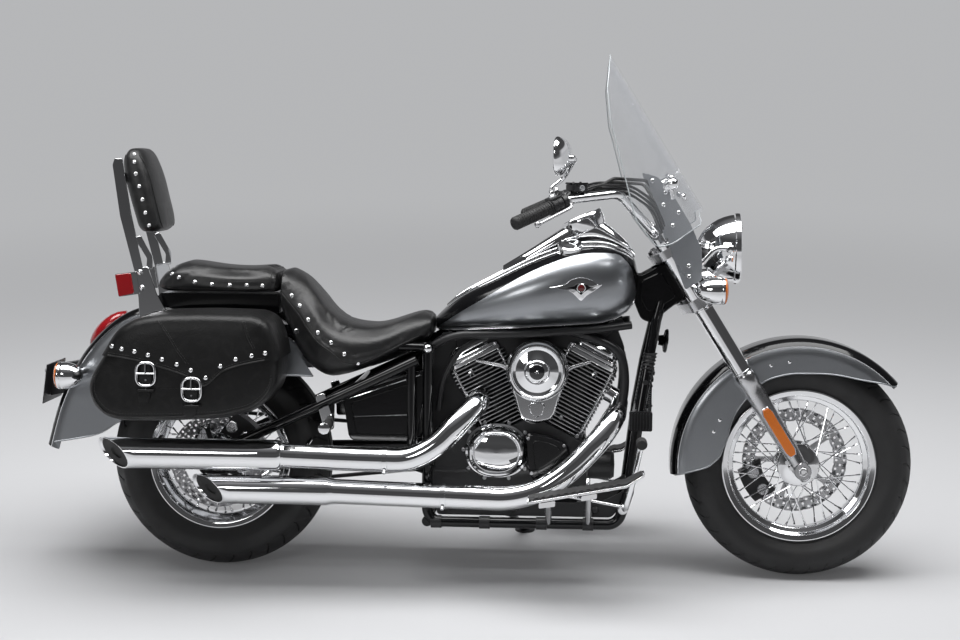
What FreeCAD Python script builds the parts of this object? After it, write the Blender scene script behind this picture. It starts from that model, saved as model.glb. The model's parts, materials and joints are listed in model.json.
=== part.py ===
import FreeCAD, Part
import math
import os

V = FreeCAD.Vector

# Cruiser motorcycle with a V-twin engine, wire wheels, windshield and saddlebags, in millimetres.
# It is modelled upright, X forward, Y to the rider's left, Z up, origin on the ground midway between
# the axles, and is leaned onto its side stand when the pieces are written.

# Stance
wheelbase = 1645.0
rake_deg = 32.0
trail = 160.0
lean_deg = 9.0
seat_gap = 0.3
pin_clearance = 0.05

# Wheels
front_tyre_r = 320.0
front_tyre_w = 130.0
front_rim_r = 203.0
front_rim_w = 92.0
rear_tyre_r = 316.5
rear_tyre_w = 180.0
rear_rim_r = 190.5
rear_rim_w = 132.0
tyre_wall = 12.0
bead_w = 12.0
tyre_crown_rise = 0.16
tyre_crown_half = 0.40
rim_flange_h = 15.0
rim_well_depth = 16.0
rim_sheet = 5.0
rim_well_w = 40.0
spoke_r = 1.7
spoke_pairs = 10
spoke_sweep_deg = 36.0
hub_barrel_r = 30.0
front_flange_r = 60.0
front_flange_y = 36.0
rear_flange_r = 68.0
rear_flange_y = 44.0
flange_t = 11.0
front_axle_r = 10.0
axle_bore_r = 6.0
rear_axle_r = 12.0
front_disc_r = 150.0
rear_disc_r = 135.0
disc_t = 5.0
disc_band = 38.0
front_disc_y = 62.0
rear_disc_y = -104.0
disc_holes = 20
disc_hole_r = 4.0
pulley_r = 105.0
front_pulley_r = 48.0
belt_y = 106.0
belt_w = 22.0
belt_t = 8.0
belt_gap = 0.4
front_pulley_x = -150.0
front_pulley_z = 330.0

# Fork and steering head
leg_y = 120.0
slider_r = 29.5
slider_below_axle = 34.0
slider_len = 352.0
leg_cover_r = 27.0
leg_tube_r = 21.0
lower_yoke_s = 890.0
yoke_t = 30.0
top_yoke_s = 1055.0
top_yoke_t = 25.0
stem_r = 15.0
head_tube_r = 31.0
head_play = 4.0
yoke_edge = 30.0
yoke_back = 25.0
yoke_side = 26.0
axle_half = 158.0

# Front fender
fender_f_r = 362.0
fender_f_half = 82.5
fender_sheet = 2.5
fender_crown_r = 45.0
fender_stay_s = 628.0

# Handlebar and what it carries
bar_r = 12.7
cable_r = 4.5
bar_bend = 62.0
riser_r = 17.0
riser_y = 60.0
bar_back = 417.5
bar_z = 972.0
bar_rise = 113.0
bar_span = 425.0
bar_pull = 377.0
grip_r = 18.0
grip_len = 118.0
housing_r = 23.0
housing_len = 34.0
perch_w = 17.0
mirror_rise = 213.0
mirror_w = 150.0
mirror_h = 104.0
mirror_t = 36.0

# Lamps
lamp_r = 100.0
lamp_back = 177.5
lamp_z = 931.0
lamp_depth = 118.0
signal_r = 38.0
front_signal_at = (-232.5, 200.0, 823.0)
front_signal_len = 74.0
signal_bar_r = 9.0
rear_signal = (-1250.0, 190.0, 562.0)
rear_signal_len = 66.0

# Windshield
shield_r = 260.0
shield_t = 4.0
shield_axis_f = -80.0
shield_bottom_s = 1108.0
shield_top_s = 1618.0
shield_half = 248.0

# Tank, seats and body panels
tank_tunnel_half = 34.0
tank_pins = ((250.0, 800.0), (-60.0, 736.0))
tank_half = 168.0
seat_half = 180.0
seat_base_z = 790.0
strap_x = -1098.0
pad_half = 135.0
fender_r_half = 112.0
fender_r_sheet = 3.0
fender_r_round = 42.0
fender_r_depth = 250.0
strut_t = 8.0
sissy_t = 6.0
bag_inner_y = 168.0
bag_outer_y = 372.0
bag_wall = 5.0
bag_round = 34.0
bag_split_z = 688.0
bag_top_z = 752.0
hinge_at = (-980.0, -700.0)
hinge_pin_r = 4.0
knuckle_len = 40.0
bag_lid_gap = 5.0
lid_flap_t = 5.0

# Number plate bracket
plate_at = (-1320.0, 0.0, 524.0)
plate_tilt_deg = 7.0
plate_w = 184.0
plate_h = 112.0
plate_t = 3.0
plate_hole_y = 73.0
plate_hole_h = 38.0
plate_hole_r = 3.5

# Frame
rail_r = 15.0
rail_y = 134.0
cover_y = 121.0
seat_rail_r = 12.0
seat_rail_x = -590.0
rail_z = 158.0
rail_front_x = 312.0
upright_x = -222.0
upright_top_z = 648.0
backbone_r = 24.0
swingarm_r = 15.0
swingarm_y = 147.0
pivot_x = -266.0
pivot_z = 332.0

# Engine
crank_x = 70.0
crank_z = 300.0
half_angle_deg = 27.5
barrel_r = 62.0
deck_h = 138.0
cover_h = 352.0
top_h = 404.0
fin_w = 168.0
fin_depth = 156.0
fin_t = 4.0
fin_pitch = 11.0
fin_round = 24.0
valley_gap = 2.0
intake_z = 568.0
cleaner_x = 83.0
cleaner_z = 587.0
cleaner_r = 84.0
clutch_at = (-29.0, 356.0)
clutch_r = 71.0
clutch_stretch = 1.15
case_half = 88.0
radiator_half = 84.0
radiator_h = 160.0

peg_x = -500.0
peg_z = 432.0

# Exhaust
pipe_r = 24.0
shield_pipe_r = 33.0
muffler_r = 43.0
muffler_low_r = 40.0
muffler_wall = 2.5
mouth_turn_deg = -45.0
upper_muffler_z = 355.0
lower_muffler_z = 258.0
upper_muffler_y = -240.0
lower_muffler_y = -236.0

# Stand
stand_pivot = (-4.0, 176.0, 132.0)
stand_r = 11.0
stand_eye_r = 19.0
stand_eye_t = 16.0
stand_forward = 45.0
stand_reach = 135.0
stand_pin_r = 8.0

# Lean and fork directions worked out from the values above
lean = math.radians(lean_deg)
rake = math.radians(rake_deg)
front_axle = V(wheelbase / 2, 0, front_tyre_r)
rear_axle = V(-wheelbase / 2, 0, rear_tyre_r)
steer_foot_x = front_axle.x + trail
along_fork = V(-math.sin(rake), 0, math.cos(rake))
ahead_fork = V(math.cos(rake), 0, math.sin(rake))
to_axle = front_axle - V(steer_foot_x, 0, 0)
leg_f = to_axle.dot(ahead_fork)
axle_s = to_axle.dot(along_fork)

# The bar's bends, the mirrors and the front lamps follow the front axle and the risers
bar_x = front_axle.x - bar_back
bar_knee = (bar_x - 105, bar_span - 190, bar_z + bar_rise)
bar_elbow = (bar_x - 240, bar_span - 103, bar_z + bar_rise - 15)
bar_end = (bar_x - bar_pull, bar_span, bar_z + bar_rise - 77)
mirror_x = bar_x - 270
mirror_y = bar_span
mirror_z = bar_z + mirror_rise
lamp_x = front_axle.x - lamp_back
front_signal = (front_axle.x + front_signal_at[0], front_signal_at[1], front_signal_at[2])


def path(points, radius, closed=False):
    """Straight runs joined by tangent arcs of one radius."""
    pts = [V(*p) for p in points]
    n = len(pts)
    corners = range(n) if closed else range(1, n - 1)
    bends = {}
    for i in corners:
        before, here, after = pts[i - 1], pts[i], pts[(i + 1) % n]
        p = (before - here).normalize()
        q = (after - here).normalize()
        turn = math.pi - p.getAngle(q)
        if radius > 0 and turn > 1e-3:
            t = radius * math.tan(turn / 2)
            inset = radius / math.cos(turn / 2) - radius
            bends[i] = (here + p * t, here + (p + q).normalize() * inset, here + q * t)
    edges = []
    for i in range(n if closed else n - 1):
        j = (i + 1) % n
        start = bends[i][2] if i in bends else pts[i]
        end = bends[j][0] if j in bends else pts[j]
        if start.distanceToPoint(end) > 1e-4:
            edges.append(Part.LineSegment(start, end).toShape())
        if j in bends:
            edges.append(Part.Arc(*bends[j]).toShape())
    return Part.Wire(edges)


def slab(points, radius, y0, y1):
    """An outline in the XZ plane, with rounded corners, from y0 to y1."""
    wire = path([(x, y0, z) for x, z in points], radius, closed=True)
    return Part.Face(wire).extrude(V(0, y1 - y0, 0))


def plan(points, radius, z0, z1):
    """An outline in the XY plane, with rounded corners, from z0 to z1."""
    wire = path([(x, y, z0) for x, y in points], radius, closed=True)
    return Part.Face(wire).extrude(V(0, 0, z1 - z0))


def rod(start, end, r):
    a = V(*start)
    b = V(*end)
    return Part.makeCylinder(r, a.distanceToPoint(b), a, b - a)


def pipe(points, r, bend):
    """A round bar along straight runs and tangent arcs."""
    route = path(points, bend)
    first = V(*points[0])
    heading = V(*points[1]) - first
    ring = Part.Wire(Part.makeCircle(r, first, heading))
    return route.makePipeShell([ring], True, False)


def turned(profile, base, direction):
    """Revolves a closed profile of (radius, height) about the line from base along direction."""
    wire = Part.makePolygon([V(r, 0, h) for r, h in profile + profile[:1]])
    solid = Part.Face(wire).revolve(V(0, 0, 0), V(0, 0, 1), 360)
    spin = FreeCAD.Rotation(V(0, 0, 1), V(*direction))
    solid.Placement = FreeCAD.Placement(V(*base), spin)
    return solid


def prism(start, end, r, sides=6):
    """A thin bar with flat sides, for what repeats many times."""
    a = V(*start)
    b = V(*end)
    corners = []
    for k in range(sides + 1):
        turn = 2 * math.pi * k / sides
        corners.append(V(r * math.cos(turn), r * math.sin(turn), 0))
    bar = Part.Face(Part.makePolygon(corners)).extrude(V(0, 0, a.distanceToPoint(b)))
    bar.Placement = FreeCAD.Placement(a, FreeCAD.Rotation(V(0, 0, 1), b - a))
    return bar


def fuse(solids):
    joined = solids[0].multiFuse(solids[1:]).removeSplitter()
    return joined


def cut(solid, tools):
    for tool in tools:
        solid = solid.cut(tool)
    return solid


def mirrored(shape):
    return shape.mirror(V(0, 0, 0), V(0, 1, 0))


def both(shape):
    return Part.makeCompound([shape, mirrored(shape)])


def fork_frame(shape):
    """Moves a shape from the fork's frame (ahead, left, along the steering axis) to the bike's."""
    moved = shape.copy()
    tilt = FreeCAD.Placement(V(steer_foot_x, 0, 0), FreeCAD.Rotation(V(0, 1, 0), -rake_deg))
    moved.Placement = tilt.multiply(moved.Placement)
    return moved


def fork_point(f, y, s):
    return V(steer_foot_x, y, 0) + ahead_fork * f + along_fork * s


def section(x, half, z0, z1, power=2.6, shift=0.0):
    """A closed rounded outline across the bike at station x."""
    count = 16
    pts = []
    for k in range(count):
        turn = 2 * math.pi * (k + 0.5) / count
        c = math.cos(turn)
        s = math.sin(turn)
        y = shift + half * math.copysign(abs(c) ** (2 / power), c)
        z = (z0 + z1) / 2 + (z1 - z0) / 2 * math.copysign(abs(s) ** (2 / power), s)
        pts.append(V(x, y, z))
    curve = Part.BSplineCurve()
    curve.interpolate(Points=pts, PeriodicFlag=True)
    return Part.Wire(curve.toShape())


def lofted(stations, power=2.6):
    """A smooth solid through outlines given as (x, half width, low z, high z)."""
    return Part.makeLoft([section(*s, power) for s in stations], True, False)


def wheel_turned(profile, axle):
    """Revolves a profile of (radius, y) about an axle."""
    return turned(profile, (axle.x, 0, axle.z), (0, 1, 0))


def tyre(axle, r, width, bead_r, rim_w):
    """A round-shouldered tyre, open towards its rim."""
    bead = rim_w / 2 - seat_gap
    lip = bead_r + rim_flange_h + 1.0
    mid = bead_r + 0.52 * (r - bead_r)
    shoulder = r - tyre_crown_rise * width
    shoulder_y = tyre_crown_half * width

    def at(radius, y):
        return V(axle.x + radius, y, axle.z)

    def side(offset):
        b = bead - (bead_w if offset else 0.0)
        return [at(bead_r, b), at(lip, b), at(mid, width / 2 - offset), at(shoulder - offset, shoulder_y - offset / 2)]

    def crown(offset):
        low = at(shoulder - offset, -(shoulder_y - offset / 2))
        return Part.Arc(side(offset)[3], at(r - offset, 0), low).toShape()

    edges = []
    for offset in (0.0, tyre_wall):
        left = side(offset)
        right = [V(p.x, -p.y, p.z) for p in left]
        for wall in (left, right):
            edges.append(Part.LineSegment(wall[0], wall[1]).toShape())
            edges.append(Part.Arc(*wall[1:]).toShape())
        edges.append(crown(offset))
    for sign in (1, -1):
        foot = at(bead_r, sign * bead)
        edges.append(Part.LineSegment(foot, at(bead_r, sign * (bead - bead_w))).toShape())
    wire = Part.Wire(Part.__sortEdges__(edges))
    return Part.Face(wire).revolve(V(axle.x, 0, axle.z), V(0, 1, 0), 360)


def rim(axle, seat_r, width):
    """A chromed steel rim with flanges, bead seats and a well."""
    lip = seat_r + rim_flange_h
    seat = seat_r - seat_gap
    well = seat_r - rim_well_depth
    w = width / 2
    k = rim_well_w / 2
    outer = [(lip - 4, w + 7), (lip, w + 4), (lip, w), (seat, w), (seat, w - 20), (well, k)]
    inner = [(lip - 8, w + 6), (seat - rim_sheet, w + 4), (seat - rim_sheet, w - 20), (well - rim_sheet, k)]
    profile = outer + [(r, -y) for r, y in reversed(outer)] + [(r, -y) for r, y in inner]
    profile += list(reversed(inner))
    return wheel_turned(profile, axle)


def spokes(axle, flange_r, flange_y, seat_r):
    """Crossed wire spokes from the hub's flanges to the rim's well."""
    inner = flange_r + seat_gap
    outer = seat_r - rim_well_depth - rim_sheet - seat_gap
    step = 360.0 / spoke_pairs
    wires = []
    for side in (1, -1):
        turn_on = 0.0 if side > 0 else step / 4
        for k in range(2 * spoke_pairs):
            lead = 1 if k % 2 else -1
            hub_turn = math.radians(k * step / 2 + turn_on)
            rim_turn = hub_turn + lead * math.radians(spoke_sweep_deg)
            hub_y = side * (flange_y + lead * 3.6)
            rim_y = side * (11.0 + lead * 3.0)
            start = axle + V(inner * math.cos(hub_turn), hub_y, inner * math.sin(hub_turn))
            end = axle + V(outer * math.cos(rim_turn), rim_y, outer * math.sin(rim_turn))
            trim = (end - start).normalize() * 1.0
            wires.append(prism(start + trim, end - trim, spoke_r))
    return Part.makeCompound(wires)


def hub(axle, flange_r, flange_y, half, bore_r):
    """A spool hub with two spoke flanges, bored for the axle."""
    t = flange_t / 2
    neck = hub_barrel_r
    right = [(neck * 0.8, half), (neck * 0.8, flange_y + t + 6), (flange_r, flange_y + t)]
    right += [(flange_r, flange_y - t), (neck, flange_y - t - 6)]
    profile = [(bore_r, half)] + right + [(r, -y) for r, y in reversed(right)] + [(bore_r, -half)]
    return wheel_turned(profile, axle)


def disc(axle, r, y, bore_r):
    """A drilled brake disc on its carrier."""
    band = r - disc_band
    profile = [(bore_r, y - 4), (bore_r, y + 4), (band - 6, y + 4), (band, y + disc_t / 2)]
    profile += [(r, y + disc_t / 2), (r, y - disc_t / 2), (band, y - disc_t / 2), (band - 6, y - 4)]
    plate = wheel_turned(profile, axle)
    holes = []
    for k in range(disc_holes):
        turn = 2 * math.pi * k / disc_holes
        ring = band + disc_band * (0.35 if k % 2 else 0.68)
        at = axle + V(ring * math.cos(turn), y - 10, ring * math.sin(turn))
        holes.append(Part.makeCylinder(disc_hole_r, 20, at, V(0, 1, 0)))
    return cut(plate, [Part.makeCompound(holes)])


def front_wheel():
    bore = front_axle_r + pin_clearance
    inner_half = leg_y - slider_r - 6.0
    wires = spokes(front_axle, front_flange_r, front_flange_y, front_rim_r)
    return {
        "front_tyre": tyre(front_axle, front_tyre_r, front_tyre_w, front_rim_r, front_rim_w),
        "front_rim": rim(front_axle, front_rim_r, front_rim_w),
        "front_hub": group(hub(front_axle, front_flange_r, front_flange_y, inner_half, bore), wires),
        "front_disc": disc(front_axle, front_disc_r, front_disc_y, hub_barrel_r * 0.8 + pin_clearance),
    }


def rear_pulley():
    """The driven belt pulley on the left of the rear hub."""
    lo = belt_y - belt_w / 2
    hi = belt_y + belt_w / 2
    bore = hub_barrel_r * 0.8 + pin_clearance
    rim_in = pulley_r - 14
    profile = [(bore, lo), (bore, lo + 8), (rim_in, lo + 8), (rim_in, hi), (pulley_r, hi), (pulley_r, lo)]
    return wheel_turned(profile, rear_axle)


def rear_wheel():
    bore = rear_axle_r + pin_clearance
    half = swingarm_y - swingarm_r - 4.0
    wires = spokes(rear_axle, rear_flange_r, rear_flange_y, rear_rim_r)
    plate = disc(rear_axle, rear_disc_r, rear_disc_y, hub_barrel_r * 0.8 + pin_clearance)
    return {
        "rear_tyre": tyre(rear_axle, rear_tyre_r, rear_tyre_w, rear_rim_r, rear_rim_w),
        "rear_rim": rim(rear_axle, rear_rim_r, rear_rim_w),
        "rear_hub": group(hub(rear_axle, rear_flange_r, rear_flange_y, half, bore), wires),
        "rear_disc_and_pulley": group(plate, rear_pulley()),
    }


def fork_sliders():
    """The two lower fork legs, each with its clamp round the axle."""
    low = axle_s - slider_below_axle
    leg = Part.makeCylinder(slider_r, slider_len, V(leg_f, leg_y, low))
    lug = Part.makeCylinder(slider_r - 6, 2 * slider_r, V(leg_f, leg_y - slider_r + 1, axle_s), V(0, 1, 0))
    leg = fuse([leg, lug])
    bore = Part.makeCylinder(front_axle_r, 400, V(leg_f, -200, axle_s), V(0, 1, 0))
    return fork_frame(both(leg.cut(bore)))


def fork_tubes():
    """Chromed covers and the upper tubes through both yokes."""
    low = axle_s - slider_below_axle + slider_len
    steps = [
        (leg_cover_r, low, lower_yoke_s),
        (leg_tube_r, lower_yoke_s, lower_yoke_s + yoke_t),
        (leg_cover_r, lower_yoke_s + yoke_t, top_yoke_s),
        (leg_tube_r, top_yoke_s, top_yoke_s + top_yoke_t),
        (leg_tube_r + 3, top_yoke_s + top_yoke_t, top_yoke_s + top_yoke_t + 9),
    ]
    profile = [(0, low)]
    for r, s0, s1 in steps:
        profile += [(r, s0), (r, s1)]
    profile.append((0, steps[-1][2]))
    return fork_frame(both(turned(profile, (leg_f, leg_y, 0), (0, 0, 1))))


def yoke(s, t, stem):
    e = yoke_edge
    y = leg_y + yoke_side
    outline = [(-yoke_back, -22), (leg_f - e, -y), (leg_f + e, -y), (leg_f + e, y), (leg_f - e, y), (-yoke_back, 22)]
    plate = plan(outline, 20, s, s + t)
    holes = [Part.makeCylinder(leg_tube_r, 4 * t, V(leg_f, side * leg_y, s - t)) for side in (1, -1)]
    return cut(plate, holes + stem)


def steering_yokes():
    """The lower yoke with its stem, the top yoke on the stem's end, and its nut."""
    top = top_yoke_s + top_yoke_t
    stem = Part.makeCylinder(stem_r, top - lower_yoke_s, V(0, 0, lower_yoke_s))
    lower = fuse([yoke(lower_yoke_s, yoke_t, []), stem])
    nut = turned([(0, top), (20, top), (20, top + 8), (8, top + 14), (0, top + 14)], (0, 0, 0), (0, 0, 1))
    upper = yoke(top_yoke_s, top_yoke_t, [Part.makeCylinder(stem_r, 4 * yoke_t, V(0, 0, top - 100))])
    return fork_frame(Part.makeCompound([lower, upper, nut]))


def axle_front():
    """The front wheel's hollow axle."""
    start = V(front_axle.x, -axle_half, front_axle.z)
    bar = Part.makeCylinder(front_axle_r, 2 * axle_half, start, V(0, 1, 0))
    return bar.cut(Part.makeCylinder(axle_bore_r, 2 * axle_half, start, V(0, 1, 0)))


def fender_front():
    """A deep valanced fender: a crown swept round the wheel, cut to its side outline."""
    r = fender_f_r
    w = fender_f_half
    t = fender_sheet
    c = fender_crown_r

    def skin(r_out, half, round_r):
        corner = 0.29 * round_r
        depth = 250
        start = V(front_axle.x + r_out - depth, half, front_axle.z)
        at_side = V(front_axle.x + r_out - round_r, half, front_axle.z)
        mid = V(front_axle.x + r_out - corner, half - corner, front_axle.z)
        on_top = V(front_axle.x + r_out, half - round_r, front_axle.z)
        low = [V(p.x, -p.y, p.z) for p in (on_top, mid, at_side, start)]
        edges = [
            Part.LineSegment(start, at_side).toShape(),
            Part.Arc(at_side, mid, on_top).toShape(),
            Part.LineSegment(on_top, low[0]).toShape(),
            Part.Arc(low[0], low[1], low[2]).toShape(),
            Part.LineSegment(low[2], low[3]).toShape(),
            Part.LineSegment(low[3], start).toShape(),
        ]
        face = Part.Face(Part.Wire(edges))
        return face.revolve(V(front_axle.x, 0, front_axle.z), V(0, 1, 0), 360)

    shell = skin(r, w, c).cut(skin(r - t, w - t, c - t))
    x = front_axle.x
    z = front_axle.z
    top = [(-380, -30), (-380, 400), (262, 400), (262, 232), (230, 240)]
    edge = [(126, 258), (30, 266), (-45, 262), (-108, 240), (-156, 190)]
    edge += [(-186, 146), (-204, 84), (-224, 30), (-262, -4), (-315, -20)]
    outline = [(x + px, z + pz) for px, pz in top + edge]
    side = slab(outline, 8, -w - 10, w + 10)
    return shell.common(side)


def fender_front_stays():
    """Brackets between the fender's sides and the fork sliders."""
    inner = fender_f_half + seat_gap
    outer = leg_y - slider_r - seat_gap
    pad = Part.makeBox(30, outer - inner, 42, V(leg_f - 15, inner, fender_stay_s))
    return fork_frame(both(pad))


def caliper(axle, r, y, turn_deg, length):
    """A two-piston caliper that straddles a disc."""
    inner = r - 52
    outer = r + 14
    body = turned([(inner, -26), (outer, -26), (outer, 26), (inner, 26)], (0, 0, 0), (0, 1, 0))
    slot = turned([(inner - 9, -5), (r + 4, -5), (r + 4, 5), (inner - 9, 5)], (0, 0, 0), (0, 1, 0))
    body = body.cut(slot)
    half = length / 2
    wedge = Part.makeBox(400, 80, length, V(0, -40, -half))
    body = body.common(wedge)
    spin = FreeCAD.Rotation(V(0, 1, 0), turn_deg)
    body.Placement = FreeCAD.Placement(V(axle.x, y, axle.z), spin).multiply(body.Placement)
    return body


def front_caliper():
    """The front brake's caliper on the left slider."""
    return caliper(front_axle, front_disc_r, front_disc_y, 150, 96)


def rear_caliper():
    """The rear brake's caliper above the right arm."""
    return caliper(rear_axle, rear_disc_r, rear_disc_y, -52, 84)


def control_cables():
    """Hoses and cables from the bar's controls, over the top yoke and down in front of it."""
    ahead = leg_f + yoke_edge + 12
    bar_f = leg_f + leg_cover_r + seat_gap + signal_bar_r
    floor = (front_signal[2] - bar_f * math.sin(rake)) / math.cos(rake) + signal_bar_r + seat_gap
    runs = []
    for side, drop in ((-1, 0.0), (1, 14.0)):
        y = side * 74
        on_bar = (V(*bar_knee) + V(*bar_elbow)) / 2
        high = bar_z + bar_rise + 41 - drop
        points = [(on_bar.x, side * on_bar.y, on_bar.z + bar_r + cable_r + 1)]
        points.append((bar_x - 119, side * (on_bar.y - 42), high))
        points.append((bar_x - 25, side * (bar_span / 2 - 66), high - 6))
        for f, s in ((ahead, 1110), (ahead, 1000), (bar_f, floor)):
            points.append(tuple(fork_point(f, y, s)))
        runs.append(pipe(points, cable_r, 34))
    return group(*runs)


def handlebar_points():
    right = [(bar_x, 110.0, bar_z), bar_knee, bar_elbow, bar_end]
    left = [(x, -y, z) for x, y, z in right]
    return list(reversed(left)) + right


def handlebar():
    """A one-piece pull-back bar on two risers."""
    bar = pipe(handlebar_points(), bar_r, bar_bend)
    risers = []
    for side in (1, -1):
        top = V(bar_x, side * riser_y, bar_z)
        f = (top - V(steer_foot_x, 0, 0)).dot(ahead_fork)
        s = (top - V(steer_foot_x, 0, 0)).dot(along_fork)
        base = fork_point(f, side * riser_y, top_yoke_s + top_yoke_t)
        post = Part.makeCylinder(riser_r, s - top_yoke_s - top_yoke_t, base, along_fork)
        clamp = Part.makeCylinder(bar_r + 7, 2 * riser_r, V(bar_x, side * riser_y - riser_r, bar_z), V(0, 1, 0))
        risers.append(post)
        risers.append(clamp)
    return fuse([bar] + risers)


def bar_run(side):
    """The end of the bar on one side and the direction back along the grip."""
    end = V(bar_end[0], side * bar_end[1], bar_end[2])
    elbow = V(bar_elbow[0], side * bar_elbow[1], bar_elbow[2])
    return end, (elbow - end).normalize()


def sleeve(side, r, start, length):
    """A collar round the straight end of the bar."""
    end, back = bar_run(side)
    base = end + back * start
    solid = Part.makeCylinder(r, length, base, back)
    return solid.cut(Part.makeCylinder(bar_r, length + 20, base - back * 10, back))


def grips():
    pieces = []
    for side in (1, -1):
        end, back = bar_run(side)
        cap = Part.makeCylinder(grip_r, 6, end - back * 6, back)
        pieces.append(fuse([sleeve(side, grip_r, 0, grip_len), cap]))
    return Part.makeCompound(pieces)


def bar_switches():
    """Switch housings, the front brake's master cylinder, the clutch perch and both levers."""
    pieces = []
    for side in (1, -1):
        end, back = bar_run(side)
        housing = sleeve(side, housing_r, grip_len + 1, housing_len)
        perch_at = grip_len + housing_len + 3
        perch = sleeve(side, bar_r + 8, perch_at, perch_w)
        ahead = V(0.80, 0.0, -0.10)
        root = end + back * (perch_at + perch_w / 2) + ahead.normalize() * (bar_r + 4)
        bend = end + back * (perch_at - 18) + ahead * 52
        tip = end + back * 12 + ahead * 62
        lever = pipe([tuple(root), tuple(bend), tuple(tip)], 6.0, 26)
        lever = lever.cut(Part.makeCylinder(bar_r + 6, 100, end + back * (perch_at - 20), back))
        ball = Part.makeSphere(9, tip)
        if side < 0:
            top = V(bar_elbow[0] + 22, -bar_elbow[1] + 16, bar_elbow[2] + 33)
            tank = Part.makeBox(54, 40, 24, V(-27, -20, -12))
            tank.Placement = FreeCAD.Placement(top, FreeCAD.Rotation(V(0, 0, 1), 33))
            neck = rod(tuple(end + back * (perch_at + perch_w / 2)), tuple(top), 9)
            perch = fuse([perch, tank, neck])
            perch = perch.cut(pipe(handlebar_points(), bar_r, bar_bend))
        pieces.append(housing)
        pieces.append(fuse([perch, lever, ball]))
    return Part.makeCompound(pieces)


def mirrors():
    """Two round-cornered mirrors on curved stems."""
    pieces = []
    for side in (1, -1):
        end, back = bar_run(side)
        foot = end + back * (grip_len + housing_len / 2)
        centre = V(mirror_x, side * mirror_y, mirror_z)
        head_profile = [(0, 0), (0.88, 0), (1.0, 0.16), (1.0, 0.28), (0.62, 0.84), (0.30, 1.0), (0, 1.0)]
        head = turned([(r * mirror_h / 2, h * mirror_t) for r, h in head_profile], (0, 0, 0), (0, 0, 1))
        stretch = FreeCAD.Matrix()
        stretch.A11 = mirror_w / mirror_h
        head = head.transformGeometry(stretch)
        facing = FreeCAD.Rotation(V(0, 1, 0), 90)
        turn = FreeCAD.Rotation(V(0, 0, 1), 8 * side)
        roll = FreeCAD.Rotation(V(1, 0, 0), 90)
        head.Placement = FreeCAD.Placement(centre, turn.multiply(roll.multiply(facing)))
        up = (V(0, 0, 1) - back * back.z).normalize()
        low = foot + up * (housing_r + seat_gap)
        straight = low + up * 24
        knee = V(mirror_x + 18, side * (mirror_y - 84), mirror_z - 58)
        reach = centre + V(mirror_t - 2, 0, -6)
        stem = pipe([tuple(low), tuple(straight), tuple(knee), tuple(reach + V(10, 0, 0))], 5.0, 16)
        pieces.append(fuse([head, stem]))
    return Part.makeCompound(pieces)


def headlight():
    """A chromed bucket with its trim ring; the lens is a piece of its own."""
    r = lamp_r
    d = lamp_depth
    outside = [(r, 0), (r, -14), (r - 5, -20), (r - 16, -56), (r - 46, -96), (22, -d)]
    inside = [(0, -d), (0, -d + 5), (24, -d + 5), (r - 48, -90), (r - 21, -54), (r - 8, -9), (r - 8, 0)]
    return turned(outside + inside, (lamp_x, 0, lamp_z), (1, 0, 0))


def headlight_lens():
    r = lamp_r - 8 - seat_gap
    profile = [(0, 8), (r * 0.55, 6), (r, 0), (r, -6), (0, -2)]
    return turned(profile, (lamp_x, 0, lamp_z), (1, 0, 0))


def headlight_bracket():
    """The plate across the fork legs and the stub that carries the headlight."""
    f = leg_f + leg_cover_r + seat_gap
    s0 = lower_yoke_s + yoke_t + 36
    plate = Part.makeBox(4, 2 * leg_y - 8, top_yoke_s - s0 - 8, V(f, -leg_y + 4, s0))
    plate = fork_frame(plate)
    back = lamp_x - lamp_depth - seat_gap
    at_plate = fork_point(f, 0, (s0 + top_yoke_s) / 2).x - 20
    stub = Part.makeCylinder(18, back - at_plate, V(at_plate, 0, lamp_z), V(1, 0, 0))
    behind = fork_frame(Part.makeBox(200, 300, 400, V(f - 200, -150, lower_yoke_s - 60)))
    return fuse([plate, stub.cut(behind)])


def signal_profile(r, length):
    """A bullet shell; the open end holds the lens."""
    return [(0, -length), (r * 0.45, -length + 2), (r * 0.80, -length * 0.70), (r, -length * 0.28), (r, 0), (0, 0)]


def signals(centre, length, ahead, stalk_x, root_y):
    """A pair of bullet turn signals on their stalks, each with its lens."""
    x, y, z = centre
    shell = turned(signal_profile(signal_r, length), (x, y, z), (ahead, 0, 0))
    stalk = rod((stalk_x, y, z), (stalk_x, root_y, z), signal_bar_r)
    r = signal_r - 1.5
    lens = turned([(0, seat_gap), (r, seat_gap), (r, 7), (r * 0.8, 11), (0, 13)], (x, y, z), (ahead, 0, 0))
    return fuse([shell, stalk]), lens


def front_signals():
    """The front signals on a bar across the fork legs."""
    x, y, z = front_signal
    at_leg = front_axle.x - math.tan(rake) * (z - front_axle.z)
    bar_x = at_leg + (leg_cover_r + signal_bar_r + seat_gap) / math.cos(rake)
    body, lens = signals(front_signal, front_signal_len, 1, bar_x, 0)
    bar = fuse([body, mirrored(body)])
    return group(bar, both(lens))


def rear_signals():
    """The rear signals on stalks from the fender's sides."""
    x, y, z = rear_signal
    body, lens = signals(rear_signal, rear_signal_len, -1, x + rear_signal_len * 0.6, fender_r_half - 20)
    body = body.cut(fender_solid(-seat_gap))
    return group(both(body), both(lens))


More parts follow.
